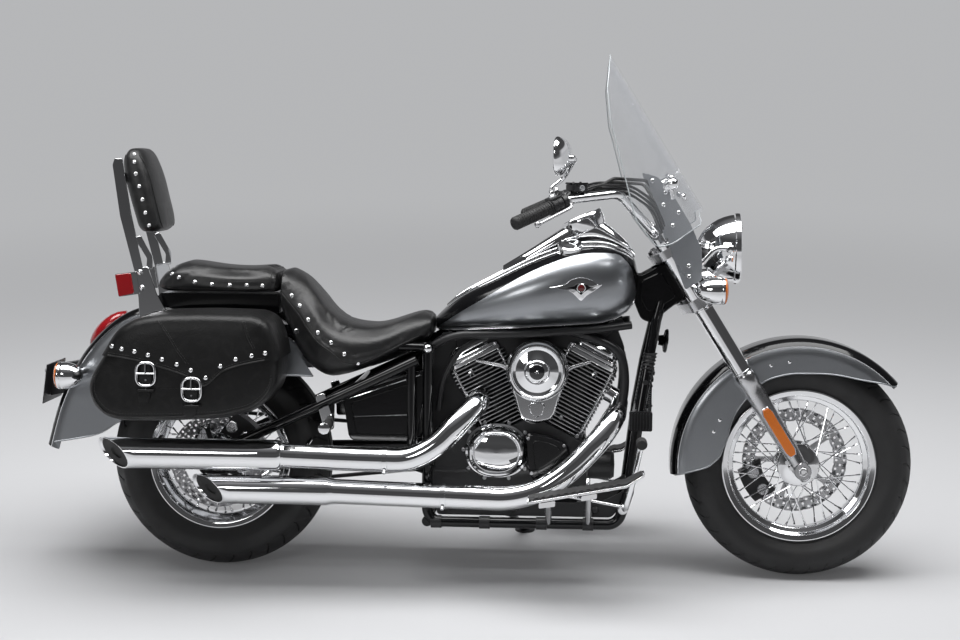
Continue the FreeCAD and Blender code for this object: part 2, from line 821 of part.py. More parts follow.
def windshield():
    """A clear sheet bent round an axis parallel to the fork, rounded at its top."""
    outer = Part.makeCylinder(shield_r, 700, V(shield_axis_f, 0, shield_bottom_s - 60))
    inner = Part.makeCylinder(shield_r - shield_t, 720, V(shield_axis_f, 0, shield_bottom_s - 70))
    sheet = outer.cut(inner)
    b = shield_bottom_s
    t = shield_top_s
    h = shield_half
    right = [(0, b + 8), (102, b + 8), (118, b - 18), (h - 6, b - 18), (h - 2, b + 100)]
    right += [(h * 0.83, b + 350), (h * 0.66, b + 440), (h * 0.36, b + 496), (0, t + 4)]
    left = [(-y, s) for y, s in reversed(right[1:-1])]
    wire = path([(0, y, s) for y, s in right + left], 26, closed=True)
    outline = Part.Face(wire).extrude(V(400, 0, 0))
    return fork_frame(sheet.common(outline))


def windshield_brackets():
    """Flat plates from the fork legs to the inside of the windshield."""
    y = leg_y + leg_cover_r + seat_gap
    inner = shield_axis_f + math.sqrt((shield_r - shield_t) ** 2 - (y + 3) ** 2) - seat_gap
    s0 = lower_yoke_s + yoke_t + 40
    outline = [(leg_f - 14, s0), (leg_f + 34, s0), (inner - 10, s0 + 120), (inner, s0 + 190)]
    outline += [(inner, s0 + 400), (inner - 22, s0 + 400), (inner - 34, s0 + 190), (leg_f - 14, s0 + 105)]
    wire = path([(f, y, s) for f, s in outline], 8, closed=True)
    plate = Part.Face(wire).extrude(V(0, 3, 0))
    return fork_frame(both(plate))


def down_tube(side):
    """The centre line of one side of the cradle, from the steering head to the seat."""
    y = side * rail_y
    s0 = lower_yoke_s + yoke_t + head_play
    top = [tuple(fork_point(-24, side * 14, s0 + 60)), (414, side * 60, 727), (390, side * 108, 607), (368, y, 470)]
    return top + [(342, y, 250), (rail_front_x, y, rail_z), (upright_x, y, rail_z), (upright_x, y, upright_top_z)]


def main_frame():
    """Double cradle of steel tube: head tube, backbone, down tubes, lower rails, uprights, seat rails."""
    s0 = lower_yoke_s + yoke_t + head_play
    s1 = top_yoke_s - head_play
    head = Part.makeCylinder(head_tube_r, s1 - s0, V(0, 0, s0))
    bore = Part.makeCylinder(stem_r + pin_clearance, s1 - s0 + 20, V(0, 0, s0 - 10))
    head_mid = fork_point(0, 0, (s0 + s1) / 2)
    backbone = [tuple(head_mid), (250, 0, 800), (-70, 0, 734), (upright_x, 0, upright_top_z)]
    tubes = [fork_frame(head), pipe(backbone, backbone_r, 120)]
    for side in (1, -1):
        tubes.append(pipe(down_tube(side), rail_r, 40))
        out = side * (fender_r_half + seat_rail_r + 0.6)
        seat_rail = [(upright_x, out, upright_top_z), (-440, out, upright_top_z + 6), (seat_rail_x, out, 690)]
        tubes.append(pipe(seat_rail, seat_rail_r, 60))
        tubes.append(slab([(352, 850), (396, 852), (436, 812), (446, 772), (424, 738), (396, 742), (362, 790)], 8,
                          side * 30, side * 34))
        plate = slab([(upright_x - 4, 290), (upright_x - 4, 372), (pivot_x - 26, 352), (pivot_x - 26, 310)], 10,
                     side * (rail_y - 12), side * (rail_y - 4))
        tubes.append(plate)
    cross = [rod((upright_x, -rail_y, upright_top_z), (upright_x, rail_y, upright_top_z), rail_r)]
    cross.append(rod((upright_x, -rail_y, rail_z), (upright_x, rail_y, rail_z), rail_r))
    pin = tank_tunnel_half - seat_gap
    for x, z in tank_pins:
        cross.append(rod((x, -pin, z), (x, pin, z), 9))
    frame = fuse(tubes + cross + [stand_bracket()])
    pivot = rod((pivot_x, -300, pivot_z), (pivot_x, 300, pivot_z), 9)
    return cut(frame, [fork_frame(bore), pivot])


def swingarm():
    """A triangulated rear fork: pivot tube, two arms, two upper tubes and the axle plates."""
    y = swingarm_y
    low = rod((pivot_x, y, pivot_z), (rear_axle.x + 30, y, rear_axle.z + 2), swingarm_r)
    high = rod((-252, y, 614), (rear_axle.x + 46, y, rear_axle.z + 48), swingarm_r)
    strut = rod((pivot_x, y, pivot_z), (-268, y, 606), swingarm_r - 2)
    x = rear_axle.x
    z = rear_axle.z
    plate = slab([(x - 42, z - 30), (x - 42, z + 34), (x + 60, z + 76), (x + 70, z - 26)], 12, y - 8, y + 8)
    tab = slab([(peg_x - 18, 500), (peg_x + 18, 510), (peg_x + 16, peg_z - 16), (peg_x - 16, peg_z - 16)], 8,
               y - 4, y + 4)
    side = fuse([low, high, strut, plate, tab])
    side = side.cut(rod((x, -300, z), (x, 300, z), rear_axle_r))
    bolt = rod((pivot_x, -y, pivot_z), (pivot_x, y, pivot_z), 9)
    half = rail_y - 12 - seat_gap
    tube = rod((pivot_x, -half, pivot_z), (pivot_x, half, pivot_z), 21)
    bridge = rod((-420, -y, 540), (-420, y, 540), 11)
    return fuse([side, mirrored(side), bolt, tube, bridge])


def axle_rear():
    half = swingarm_y + 22
    return rod((rear_axle.x, -half, rear_axle.z), (rear_axle.x, half, rear_axle.z), rear_axle_r)


def drive_belt():
    """A flat belt round both pulleys, as one closed loop."""
    y0 = belt_y - belt_w / 2
    y1 = belt_y + belt_w / 2
    gap = V(rear_axle.x - front_pulley_x, 0, rear_axle.z - front_pulley_z)
    span = gap.Length
    tilt = math.asin((pulley_r - front_pulley_r) / span)
    axis = math.atan2(gap.z, gap.x)

    def loop(extra):
        big = pulley_r + belt_gap + extra
        small = front_pulley_r + belt_gap + extra
        pts = []
        for sign in (1, -1):
            turn = axis + sign * (math.pi / 2 + tilt)
            way = V(math.cos(turn), 0, math.sin(turn))
            pts.append((V(rear_axle.x, y0, rear_axle.z) + way * big, V(front_pulley_x, y0, front_pulley_z) + way * small))
        out = V(math.cos(axis), 0, math.sin(axis))
        far = V(rear_axle.x, y0, rear_axle.z) + out * big
        near = V(front_pulley_x, y0, front_pulley_z) - out * small
        edges = [
            Part.LineSegment(pts[0][1], pts[0][0]).toShape(),
            Part.Arc(pts[0][0], far, pts[1][0]).toShape(),
            Part.LineSegment(pts[1][0], pts[1][1]).toShape(),
            Part.Arc(pts[1][1], near, pts[0][1]).toShape(),
        ]
        return Part.Face(Part.Wire(edges)).extrude(V(0, y1 - y0, 0))

    return loop(belt_t).cut(loop(0))


def barrel_frame(shape, sign):
    """Moves a shape from a barrel's frame (across, left, along the bore) to the bike's."""
    moved = shape.copy()
    tilt = FreeCAD.Rotation(V(0, 1, 0), sign * half_angle_deg)
    moved.Placement = FreeCAD.Placement(V(crank_x, 0, crank_z), tilt).multiply(moved.Placement)
    return moved


def fin_plate(h, width, depth):
    points = [(-width / 2, -depth / 2), (width / 2, -depth / 2), (width / 2, depth / 2), (-width / 2, depth / 2)]
    return plan(points, fin_round, h, h + fin_t)


def finned(h0, h1, width, depth):
    """A round core with cooling fins from h0 to h1."""
    core = Part.makeCylinder(barrel_r, h1 - h0, V(0, 0, h0))
    fins = []
    h = h0 + fin_pitch - fin_t
    while h < h1 - 1:
        fins.append(fin_plate(h, width, depth))
        h += fin_pitch
    return fuse([core] + fins)


def cylinder(sign):
    """A finned barrel and the finned head on it."""
    barrel = barrel_frame(finned(deck_h, cover_h, fin_w, fin_depth), sign)
    other_side = Part.makeBox(400, 400, 600, V(crank_x - 200 - sign * (200 - valley_gap), -200, crank_z))
    return barrel.cut(other_side)


def rocker_cover(sign):
    """A chromed cover with a rounded top on the head."""
    w = fin_w / 2 - 6
    d = fin_depth / 2 - 8
    foot = plan([(-w, -d), (w, -d), (w, d), (-w, d)], 22, cover_h, cover_h + 16)
    step = plan([(-w + 7, -d + 4), (w - 7, -d + 4), (w - 7, d - 4), (-w + 7, d - 4)], 18, cover_h, cover_h + 26)
    cap = plan([(-w + 14, -d + 9), (w - 14, -d + 9), (w - 14, d - 9), (-w + 14, d - 9)], 18, cover_h, top_h)
    top_edges = [e for e in cap.Edges if e.BoundBox.ZMin > top_h - 0.01]
    cap = cap.makeFillet(12, top_edges)
    return barrel_frame(fuse([foot, step, cap]), sign)


def barrel_envelope(sign):
    box = Part.makeBox(fin_w + 4, 400, 300, V(-fin_w / 2 - 2, -200, deck_h))
    return barrel_frame(box, sign)


def engine_cases():
    """Crankcase and gearbox castings in one, with the two barrel decks."""
    outline = [(-214, 230), (-150, 180), (170, 180), (222, 240), (232, 330), (215, 420), (150, 470)]
    outline += [(70, 430), (-10, 470), (-120, 470), (-196, 400)]
    body = slab(outline, 22, -case_half, case_half)
    return cut(body, [barrel_envelope(1), barrel_envelope(-1)])


def oval_turned(profile):
    """A turned shape on the crankcase's right face, stretched along the bike into an oval."""
    solid = turned(profile, (0, 0, 0), (0, -1, 0))
    stretch = FreeCAD.Matrix()
    stretch.A11 = clutch_stretch
    solid = solid.transformGeometry(stretch)
    solid.translate(V(clutch_at[0], -case_half, clutch_at[1]))
    return solid


def right_covers():
    """The oval clutch cover with its dished face, and the ignition cover ahead of it."""
    r = clutch_r
    flange = r * 1.08
    profile = [(0, 0), (flange, 0), (flange, 8), (r, 11), (r - 2, 16), (r - 2, 40), (r - 7, 54), (r - 14, 56)]
    profile += [(r - 18, 51), (r - 31, 57), (0, 61)]
    y = -case_half
    front = slab([(50, 414), (60, 300), (92, 252), (120, 262), (180, 332), (172, 384), (128, 402)], 14, y, y - 38)
    outer = [e for e in front.Edges if e.BoundBox.YMax < y - 37.9]
    front = front.makeFillet(7, outer)
    rib = slab([(74, 394), (82, 312), (100, 284), (154, 340), (148, 370)], 10, y - 37, y - 43)
    beside = oval_turned([(0, 0), (flange + 1, 0), (flange + 1, 60), (0, 60)])
    return Part.makeCompound([oval_turned(profile), front.fuse(rib).cut(beside)])


def left_cover():
    """The alternator cover and the belt's front pulley cover."""
    y = case_half
    alternator = turned([(0, 0), (92, 0), (92, 34), (78, 52), (30, 60), (0, 60)], (82, y, 300), (0, 1, 0))
    return alternator


def front_pulley():
    y0 = belt_y - belt_w / 2
    profile = [(0, case_half), (20, case_half), (20, y0), (front_pulley_r, y0), (front_pulley_r, y0 + belt_w)]
    profile += [(16, y0 + belt_w), (16, y0 + belt_w + 8), (0, y0 + belt_w + 8)]
    return turned(profile, (front_pulley_x, 0, front_pulley_z), (0, 1, 0))


def air_cleaner():
    """A dished chrome cover on a backing plate with a shield-shaped foot, and the intake behind it."""
    depth = fin_depth / 2 + 14
    x = cleaner_x
    z = cleaner_z
    plate = Part.makeCylinder(cleaner_r + 4, 30, V(x, -depth, z), V(0, -1, 0))
    lobe = [(x - 76, z - 17), (x - 61, z - 82), (x - 51, z - 121), (x - 36, z - 141)]
    lobe += [(2 * x - px, pz) for px, pz in reversed(lobe)]
    plate = plate.fuse(slab(lobe, 10, -depth, -depth - 30))
    panel = [(x - 23, z - 101), (x - 14, z - 128), (x + 14, z - 128), (x + 23, z - 101)]
    panel += [(x + 18, z - 90), (x - 18, z - 90)]
    r = cleaner_r
    profile = [(0, 29), (r, 29), (r + 1, 38), (r - 4, 50), (r - 12, 56), (r - 18, 49), (r - 24, 45), (r - 48, 53)]
    profile += [(r - 53, 61), (r - 72, 66), (0, 66)]
    dish = turned(profile, (x, -depth, z), (0, -1, 0))
    throat = rod((x, -depth, intake_z), (x, 16, intake_z), 26)
    manifold = rod((crank_x - 200, 0, intake_z), (crank_x + 200, 0, intake_z), 20)
    between = Part.makeBox(fin_w + 2 * seat_gap, 400, 400, V(-fin_w / 2 - seat_gap, -200, 0))
    for sign in (1, -1):
        manifold = manifold.cut(barrel_frame(between, sign))
    middle = Part.makeBox(300, 200, 200, V(crank_x - 150, -100, intake_z - 100))
    return fuse([plate, slab(panel, 6, -depth - 29, -depth - 36), dish, throat, manifold.common(middle)])


def oil_filter():
    profile = [(0, 0), (38, 0), (40, 6), (40, 86), (34, 96), (0, 98)]
    return turned(profile, (206, -40, 312), (1, 0, 0)).cut(engine_cases())


def radiator():
    """A slim core with side tanks, held by lugs between the down tubes."""
    w = radiator_half
    h = radiator_h
    box = Part.makeBox(30, 2 * w, h, V(-15, -w, -h / 2))
    fins = []
    for k in range(8):
        fins.append(Part.makeBox(6, 2 * w - 26, 10, V(13, -w + 13, -h / 2 + 8 + k * 19)))
    core = fuse([box] + fins)
    core.Placement = FreeCAD.Placement(V(382, 0, 516), FreeCAD.Rotation(V(0, 1, 0), 10))
    lugs = [rod((x, -rail_y, z), (x, rail_y, z), 7) for x, z in ((376, 482), (384, 560))]
    tubes = [pipe(down_tube(side), rail_r + seat_gap, 40) for side in (1, -1)]
    return group(cut(fuse([core] + lugs), tubes), regulator())


def regulator():
    """The finned charging regulator outside the right down tube."""
    y = -rail_y - rail_r - seat_gap
    x0 = 340
    z0 = 428
    case = slab([(x0, z0), (x0 + 64, z0), (x0 + 64, z0 + 54), (x0, z0 + 54)], 5, y, y - 18)
    fins = [Part.makeBox(3, 12, 46, V(x0 + 6 + 8 * k, y - 29, z0 + 4)) for k in range(7)]
    return fuse([case] + fins)


def muffler(x_tip, x_front, y, z, r, slant):
    """A straight muffler whose open tip is cut on the slant, facing down and outward."""
    length = x_front - x_tip
    shell = Part.makeCylinder(r, length, V(x_tip, y, z), V(1, 0, 0))
    hollow = Part.makeCylinder(r - muffler_wall, length - 120, V(x_tip - 1, y, z), V(1, 0, 0))
    tip = [(x_tip - 60, z - r - 5), (x_tip + slant, z - r - 5), (x_tip, z + r + 0.1), (x_tip - 60, z + r + 5)]
    wedge = slab(tip, 0, y - 2 * r, y + 2 * r)
    wedge.rotate(V(x_tip, y, z), V(1, 0, 0), mouth_turn_deg)
    return cut(shell, [hollow, wedge])


def exhaust_rear():
    """Rear cylinder's pipe inside its full-length heat shield, and the upper muffler."""
    y = upper_muffler_y
    z = upper_muffler_z
    start_y = -fin_depth / 2 - seat_gap
    stub = rod((-78, start_y, 503), (-78, start_y - 40, 503), pipe_r)
    points = [(-78, start_y - 28, 503), (-80, -176, 500), (-150, y + 4, 428), (-262, y, z - 8), (-640, y, z)]
    shield = pipe(points, shield_pipe_r, 50)
    return fuse([muffler(-1140, -620, y, z, muffler_r, 95), shield, stub])


def exhaust_front():
    """Front cylinder's pipe inside its full-length heat shield, and the lower muffler."""
    y = lower_muffler_y
    z = lower_muffler_z
    port = barrel_frame(Part.Vertex(V(fin_w / 2 + seat_gap, -40, 292)), 1).Point
    out = barrel_frame(Part.Vertex(V(fin_w / 2 + 46, -40, 292)), 1).Point
    bend = V(296, -172, 440)
    inside = pipe([tuple(port), tuple(out), tuple(out + (bend - out) * 0.62)], pipe_r, 30)
    points = [tuple(out + (bend - out) * 0.45), tuple(bend), (196, -206, 366), (100, -210, 262)]
    points += [(10, -213, 236), (-120, y + 4, 248), (-500, y, z)]
    shield = pipe(points, shield_pipe_r, 46)
    return fuse([muffler(-876, -484, y, z, muffler_low_r, 102), shield, inside])


def fuel_tank():
    """A teardrop tank straddling the frame's backbone."""
    w = tank_half
    stations = [
        (-206, 0.30 * w, 692, 730), (-140, 0.62 * w, 690, 792), (-40, 0.86 * w, 694, 848), (60, 0.98 * w, 698, 902),
        (170, 1.00 * w, 704, 944), (262, 0.92 * w, 712, 950), (322, 0.72 * w, 738, 926), (357, 0.40 * w, 790, 884),
    ]
    body = lofted(stations, 2.4)
    tunnel = slab([(-260, 600), (420, 600), (420, 874), (180, 824), (-60, 772), (-260, 700)], 0,
                  -tank_tunnel_half, tank_tunnel_half)
    return body.cut(tunnel)


def tank_console():
    """The chromed panel along the tank's top, with the speedometer's nacelle at its front."""
    strip = slab([(-20, 848), (60, 892), (150, 930), (250, 944), (330, 925), (356, 896), (340, 960), (252, 1024),
                  (200, 1022), (100, 954), (-14, 876)], 6, -40, 40)
    dial = turned([(0, 0), (56, 0), (60, 6), (60, 30), (54, 36), (0, 36)], (212, 0, 988), (-0.42, 0, 0.90))
    return fuse([strip, dial]).cut(fuel_tank())


def fuel_cap():
    cap = turned([(0, -20), (34, -20), (36, 4), (36, 16), (30, 24), (0, 26)], (172, -84, 926), (0, -0.42, 0.91))
    return cap.cut(fuel_tank())


def rider_seat():
    """The rider's seat, hollow underneath where it straddles the frame rails."""
    w = seat_half
    stations = [
        (-214, 0.56 * w, 668, 742), (-262, 0.74 * w, 640, 738), (-354, 0.92 * w, 598, 708), (-411, 0.97 * w, 576, 706),
        (-463, 1.00 * w, 560, 718), (-504, 0.98 * w, 556, 746), (-544, 0.92 * w, 574, 798), (-584, 0.80 * w, 612, 842),
        (-620, 0.74 * w, 680, 862), (-644, 0.70 * w, 740, 866),
    ]
    body = lofted(stations, 3.0)
    under = slab([(-200, 500), (-200, 700), (-264, 684), (-300, 662.6), (-440, 666.7), (-560, 735), (-660, 768),
                  (-700, 500)], 0, -146, 146)
    return body.cut(under)


def passenger_seat():
    w = pad_half
    low = seat_base_z + seat_gap
    stations = [
        (-645, 0.90 * w, 795, 862), (-700, 0.98 * w, low, 868), (-816, 1.0 * w, low, 867), (-900, 0.98 * w, low, 879),
        (-950, 0.92 * w, low, 876), (-985, 0.78 * w, 793, 850), (-998, 0.62 * w, 800, 828),
    ]
    below = Part.makeBox(500, 500, 40, V(-1100, -250, low - 40))
    return lofted(stations, 3.0).cut(below)


def seat_base():
    """The gloss black base between the rear fender and the passenger's pad."""
    top = seat_base_z
    outline = [(-652, 730), (-650, top), (-984, top), (-996, top - 12), (-980, top - 50)]
    return slab(outline, 6, -96, 96).cut(fender_solid(-seat_gap))


def fender_solid(inset):
    """The rear fender's outer form, or the space inside it, as a section swept along the crown's line."""
    crown = [(-1318, 352), (-1276, 492), (-1196, 636), (-1072, 738), (-900, 760), (-720, 742), (-560, 650)]
    line = Part.BSplineCurve()
    line.interpolate(Points=[V(x, 0, z) for x, z in crown])
    along = line.tangent(line.FirstParameter)[0]
    down = V(along.z, 0, -along.x)
    top = line.value(line.FirstParameter) + down * inset
    half = fender_r_half - inset
    r = fender_r_round - inset
    k = r * (1 - math.sqrt(0.5))
    left = [(half, fender_r_depth), (half, r), (half - k, k), (half - r, 0)]
    right = [(-y, drop) for y, drop in reversed(left)]
    p = [top + V(0, y, 0) + down * drop for y, drop in left + right]
    edges = [
        Part.LineSegment(p[0], p[1]).toShape(),
        Part.Arc(p[1], p[2], p[3]).toShape(),
        Part.LineSegment(p[3], p[4]).toShape(),
        Part.Arc(p[4], p[5], p[6]).toShape(),
        Part.LineSegment(p[6], p[7]).toShape(),
        Part.LineSegment(p[7], p[0]).toShape(),
    ]
    return Part.Wire(line.toShape()).makePipeShell([Part.Wire(edges)], True, False)


def rear_fender():
    """A wide rear fender of sheet steel, cut to its side outline."""
    shell = fender_solid(0).cut(fender_solid(fender_r_sheet))
    below = [(-1400, 330), (-1290, 362), (-1171, 385), (-1107, 422), (-1000, 500), (-880, 540), (-700, 560)]
    below += [(-540, 560), (-540, 180), (-1400, 180)]
    w = fender_r_half + 5
    return shell.cut(slab(below, 0, -w, w))


def fender_struts():
    """Flat steel struts along the fender's sides, with the arms that carry the saddlebags."""
    y = fender_r_half + seat_gap
    front = seat_rail_x - 2.3
    outline = [(front, 676), (front, 704), (-1020, 738), (-1046, 716), (-1040, 696)]
    arms = [rod((x, y + 4, z), (x, bag_inner_y - seat_gap, z), 9) for x, z in ((-930, 711), (-690, 696))]
    return both(fuse([slab(outline, 6, y, y + strut_t)] + arms))


def tail_light():
    """A long rounded lamp that follows the fender's tail, and a reflector behind each side bracket."""
    lamp = slab([(-1212, 622), (-1190, 692), (-1160, 720), (-1098, 738), (-1120, 680), (-1180, 640)], 7, -47, 47)
    outer = [e for e in lamp.Edges if abs(e.BoundBox.YMax - e.BoundBox.YMin) < 0.01]
    lamp = lamp.makeFillet(5, outer)
    y = fender_r_half + 3 * seat_gap + strut_t + sissy_t
    reflector = slab([(-1106, 842), (-1046, 850), (-1037, 790), (-1096, 781)], 4, y, y + 8)
    return group(lamp.cut(fender_solid(-seat_gap)), both(reflector))


def plate_bracket():
    """A sheet bracket on the fender's tail, with two holes for the number plate."""
    face = Part.makeBox(plate_t, plate_w, plate_h, V(-plate_t, -plate_w / 2, -plate_h / 2))
    for side in (1, -1):
        at = V(-plate_t - 5, side * plate_hole_y, plate_hole_h)
        face = face.cut(Part.makeCylinder(plate_hole_r, plate_t + 10, at, V(1, 0, 0)))
    face.Placement = FreeCAD.Placement(V(*plate_at), FreeCAD.Rotation(V(0, 1, 0), plate_tilt_deg))
    x, y, z = plate_at
    foot = slab([(x - 1, z + 46), (x + 130, z + 70), (x + 100, z - 20), (x - 4, z - 40)], 3, -30, 30)
    return fuse([face, foot.cut(fender_solid(-seat_gap))])


def sissy_bar():
    """Two flat legs beside the backrest pad, on side brackets, with a strap behind the pad."""
    y = fender_r_half + 2 * seat_gap + strut_t
    outline = [(-1038, 700), (-952, 728), (-990, 790), (-1014, 866), (-1054, 860), (-1044, 790)]
    foot = slab(outline, 8, y, y + sissy_t)
    edge = [(-1052, 850), (-1026, 856), (-1060, 1010), (-1082, 1150), (-1084, 1168), (-1106, 1168), (-1112, 1150),
            (-1092, 1006)]
    leg = slab(edge, 4, y, y + sissy_t)
    strap = slab([(-1104, 1096), (strap_x, 1096), (strap_x, 1126), (-1104, 1126)], 0, -y - 1, y + 1)
    return fuse([foot, leg, mirrored(foot), mirrored(leg), strap])


def backrest_pad():
    """The passenger's backrest pad, in front of the hoop."""
    def ring(z, x_back, depth, half):
        count = 16
        pts = []
        for k in range(count):
            turn = 2 * math.pi * (k + 0.5) / count
            c = math.cos(turn)
            s = math.sin(turn)
            x = x_back + depth / 2 + depth / 2 * math.copysign(abs(c) ** 0.7, c)
            y = half * math.copysign(abs(s) ** 0.7, s)
            pts.append(V(x, y, z))
        curve = Part.BSplineCurve()
        curve.interpolate(Points=pts, PeriodicFlag=True)
        return Part.Wire(curve.toShape())

    rows = [(958, -1050, 58, 96), (978, -1059, 84, 112), (1010, -1069, 92, 118), (1060, -1083, 94, 119),
            (1115, -1097, 95, 117), (1160, -1100, 82, 108), (1186, -1094, 62, 94), (1200, -1082, 36, 76)]
    behind = Part.makeBox(100, 400, 31, V(strap_x + seat_gap - 100, -200, 1095.5))
    return Part.makeLoft([ring(*row) for row in rows], True, False).cut(behind)


def lid_hinge():
    """Where the left lid's hinge line lies, as (y, z)."""
    return bag_inner_y - 12, bag_top_z + 6


def hinge_bars(x, length, r):
    y, z = lid_hinge()
    return rod((x - length / 2, y, z), (x + length / 2, y, z), r)


def saddlebag():
    """A hollow hard-leather bag: open at the top, its back panel carrying the lid's hinge pins."""
    outline = [(-1060, 738), (-620, 738), (-600, 600), (-636, 500), (-700, 462), (-1080, 456), (-1132, 530), (-1118, 620)]
    y0 = bag_inner_y
    y1 = bag_outer_y
    t = bag_wall
    outer = slab(outline, bag_round, y0, y1)
    shrunk = [(-1052, 760), (-626, 760), (-605, 601), (-640, 505), (-702, 467), (-1078, 461), (-1126, 531), (-1112, 619)]
    inner = slab(shrunk, bag_round - t, y0 + t, y1 - t)
    top = Part.makeBox(800, 400, 200, V(-1250, y0 + t, bag_split_z))
    solids = [cut(outer, [inner, top])]
    hinge_y, hinge_z = lid_hinge()
    for x in hinge_at:
        for side in (1, -1):
            ear_x = x + side * (knuckle_len / 2 + 0.5) - (8 if side < 0 else 0)
            solids.append(Part.makeBox(8, y0 + 1 - (hinge_y - 8), 34, V(ear_x, hinge_y - 8, 700)))
            solids.append(Part.makeBox(8, 10, hinge_z + 8 - 700, V(ear_x, hinge_y - 8, 700)))
        solids.append(hinge_bars(x, knuckle_len + 14, hinge_pin_r))
    return fuse(solids)


def bag_lid():
    """The lid: a cap over the bag's mouth with its hinge knuckles, and the flap over the outer face."""
    y0 = bag_inner_y - 6
    y1 = bag_outer_y + bag_lid_gap + lid_flap_t
    low = bag_split_z + bag_lid_gap
    top = bag_top_z
    cap = slab([(-1112, low), (-1066, top - 10), (-1000, top), (-650, top), (-616, top - 22), (-598, low)], 16, y0, y1)
    room = slab([(-1106, low - 10), (-1062, top - 15), (-998, top - 5), (-652, top - 5), (-621, top - 26),
                 (-603, low - 10)], 11, y0 - 5, y1 - lid_flap_t)
    behind = Part.makeBox(600, 22, 80, V(-1150, y0 - 5, top - 5 - 80))
    flap = slab([(-1112, low + 4), (-1104, 640), (-1000, 622), (-880, 590), (-806, 556), (-750, 600), (-640, 628),
                 (-598, 640), (-598, low + 4)], 12, y1 - lid_flap_t, y1)
    hinge_y, hinge_z = lid_hinge()
    solids = [cut(cap, [room, behind]), flap]
    for x in hinge_at:
        solids.append(hinge_bars(x, knuckle_len, 9))
        solids.append(Part.makeBox(knuckle_len, 44, 4.5, V(x - knuckle_len / 2, hinge_y, top - 0.5)))
    lid = fuse(solids)
    return cut(lid, [hinge_bars(x, knuckle_len + 20, hinge_pin_r + pin_clearance) for x in hinge_at])


def side_cover():
    """A side panel over the electrics box."""
    outline = [(-452, 504), (-246, 574), (-262, 388), (-430, 388)]
    panel = slab(outline, 14, cover_y, cover_y + 10)
    return panel


def electrics_box():
    """The box between the side covers, with the bosses that they clip to."""
    half = belt_y - belt_w / 2 - 7
    box = slab([(-440, 392), (-440, 520), (-246, 560), (-246, 392)], 8, -half, half)
    end = cover_y - seat_gap
    bosses = [rod((x, -end, z), (x, end, z), 10) for x, z in ((-290, 524), (-400, 478))]
    reach = rail_y - rail_r - seat_gap
    bosses.append(rod((upright_x, -reach, 540), (upright_x, reach, 540), 8))
    ears = [Part.makeBox(32, 10, 22, V(-250, side * 60 - 5, 529)) for side in (1, -1)]
    return fuse([box] + bosses + ears)


def floorboards():
    """Sprung footboards on their brackets, each with a rubber-covered tread plate."""
    y0 = rail_y + rail_r + 107
    y1 = y0 + 100
    board = slab([(66, 250), (330, 300), (380, 330), (374, 340), (326, 312), (64, 262)], 3, y0, y1)
    arm_a = rod((120, rail_y + rail_r * 0.8, rail_z + 4), (120, y0 + 20, 256), 9)
    arm_b = rod((230, rail_y + rail_r * 0.8, rail_z + 4), (230, y0 + 20, 278), 9)
    return board, arm_a, arm_b


def floorboard_pair():
    board, arm_a, arm_b = floorboards()
    rail = rod((rail_front_x - 60, rail_y, rail_z), (upright_x + 60, rail_y, rail_z), rail_r + seat_gap / 3)
    solid = fuse([board, arm_a.cut(board), arm_b.cut(board)])
    return both(solid.cut(rail))


def foot_controls():
    """The brake pedal on the right, the gear lever on the left and the passenger's pegs."""
    pieces = []
    y = rail_y + rail_r + seat_gap
    for side in (1, -1):
        pivot = (326, side * (rail_y - 2), 204)
        bend = (332, side * (y + 44), 214)
        arm = pipe([pivot, bend, (350, side * (y + 74), 290), (372, side * (y + 112), 410)], 8, 22)
        arm = arm.cut(pipe(down_tube(side), rail_r + seat_gap, 40))
        pad = rod((372, side * (y + 96), 410), (372, side * (y + 150), 410), 14)
        pieces.append(fuse([arm, pad]))
        peg = rod((peg_x, side * (swingarm_y + 4 + seat_gap), peg_z), (peg_x, side * (swingarm_y + 92), peg_z), 13)
        pieces.append(peg)
    return group(*pieces)


def tyre_drop():
    """How far the rear tyre's round tread reaches below the origin when the bike leans."""
    rise = tyre_crown_rise * rear_tyre_w
    half = tyre_crown_half * rear_tyre_w
    crown_r = (half ** 2 + rise ** 2) / (2 * rise)
    return crown_r * (1 - math.cos(lean))


def stand_axis():
    """The line that the stand folds about."""
    return V(0, 0.646, 0.763).normalize()


def side_stand():
    """A prop leg with its foot pad parallel to the ground when the bike leans on it."""
    pivot = V(*stand_pivot)
    fold = stand_axis()
    foot_y = pivot.y + stand_reach
    foot = V(pivot.x + stand_forward, foot_y, foot_y * math.tan(lean) - tyre_drop() / math.cos(lean))
    way = (foot - pivot).normalize()
    eye = Part.makeCylinder(stand_eye_r, stand_eye_t, pivot - fold * (stand_eye_t / 2), fold)
    leg = Part.makeCylinder(stand_r, pivot.distanceToPoint(foot) - 16, pivot + way * 8, way)
    up = V(0, -math.sin(lean), math.cos(lean))
    pad = Part.makeCylinder(30, 7, foot, up)
    toe = Part.makeCylinder(15, 20, foot, up)
    solid = fuse([eye, leg, pad, toe])
    under = Part.makeCylinder(80, 60, foot - up * 60, up)
    hole = Part.makeCylinder(stand_pin_r + pin_clearance, 60, pivot - fold * 30, fold)
    cheeks = []
    for way in (fold, -fold):
        cheeks.append(Part.makeCylinder(stand_eye_r + 5, 30, pivot + way * (stand_eye_t / 2), way))
    return cut(solid, [under, hole] + cheeks)


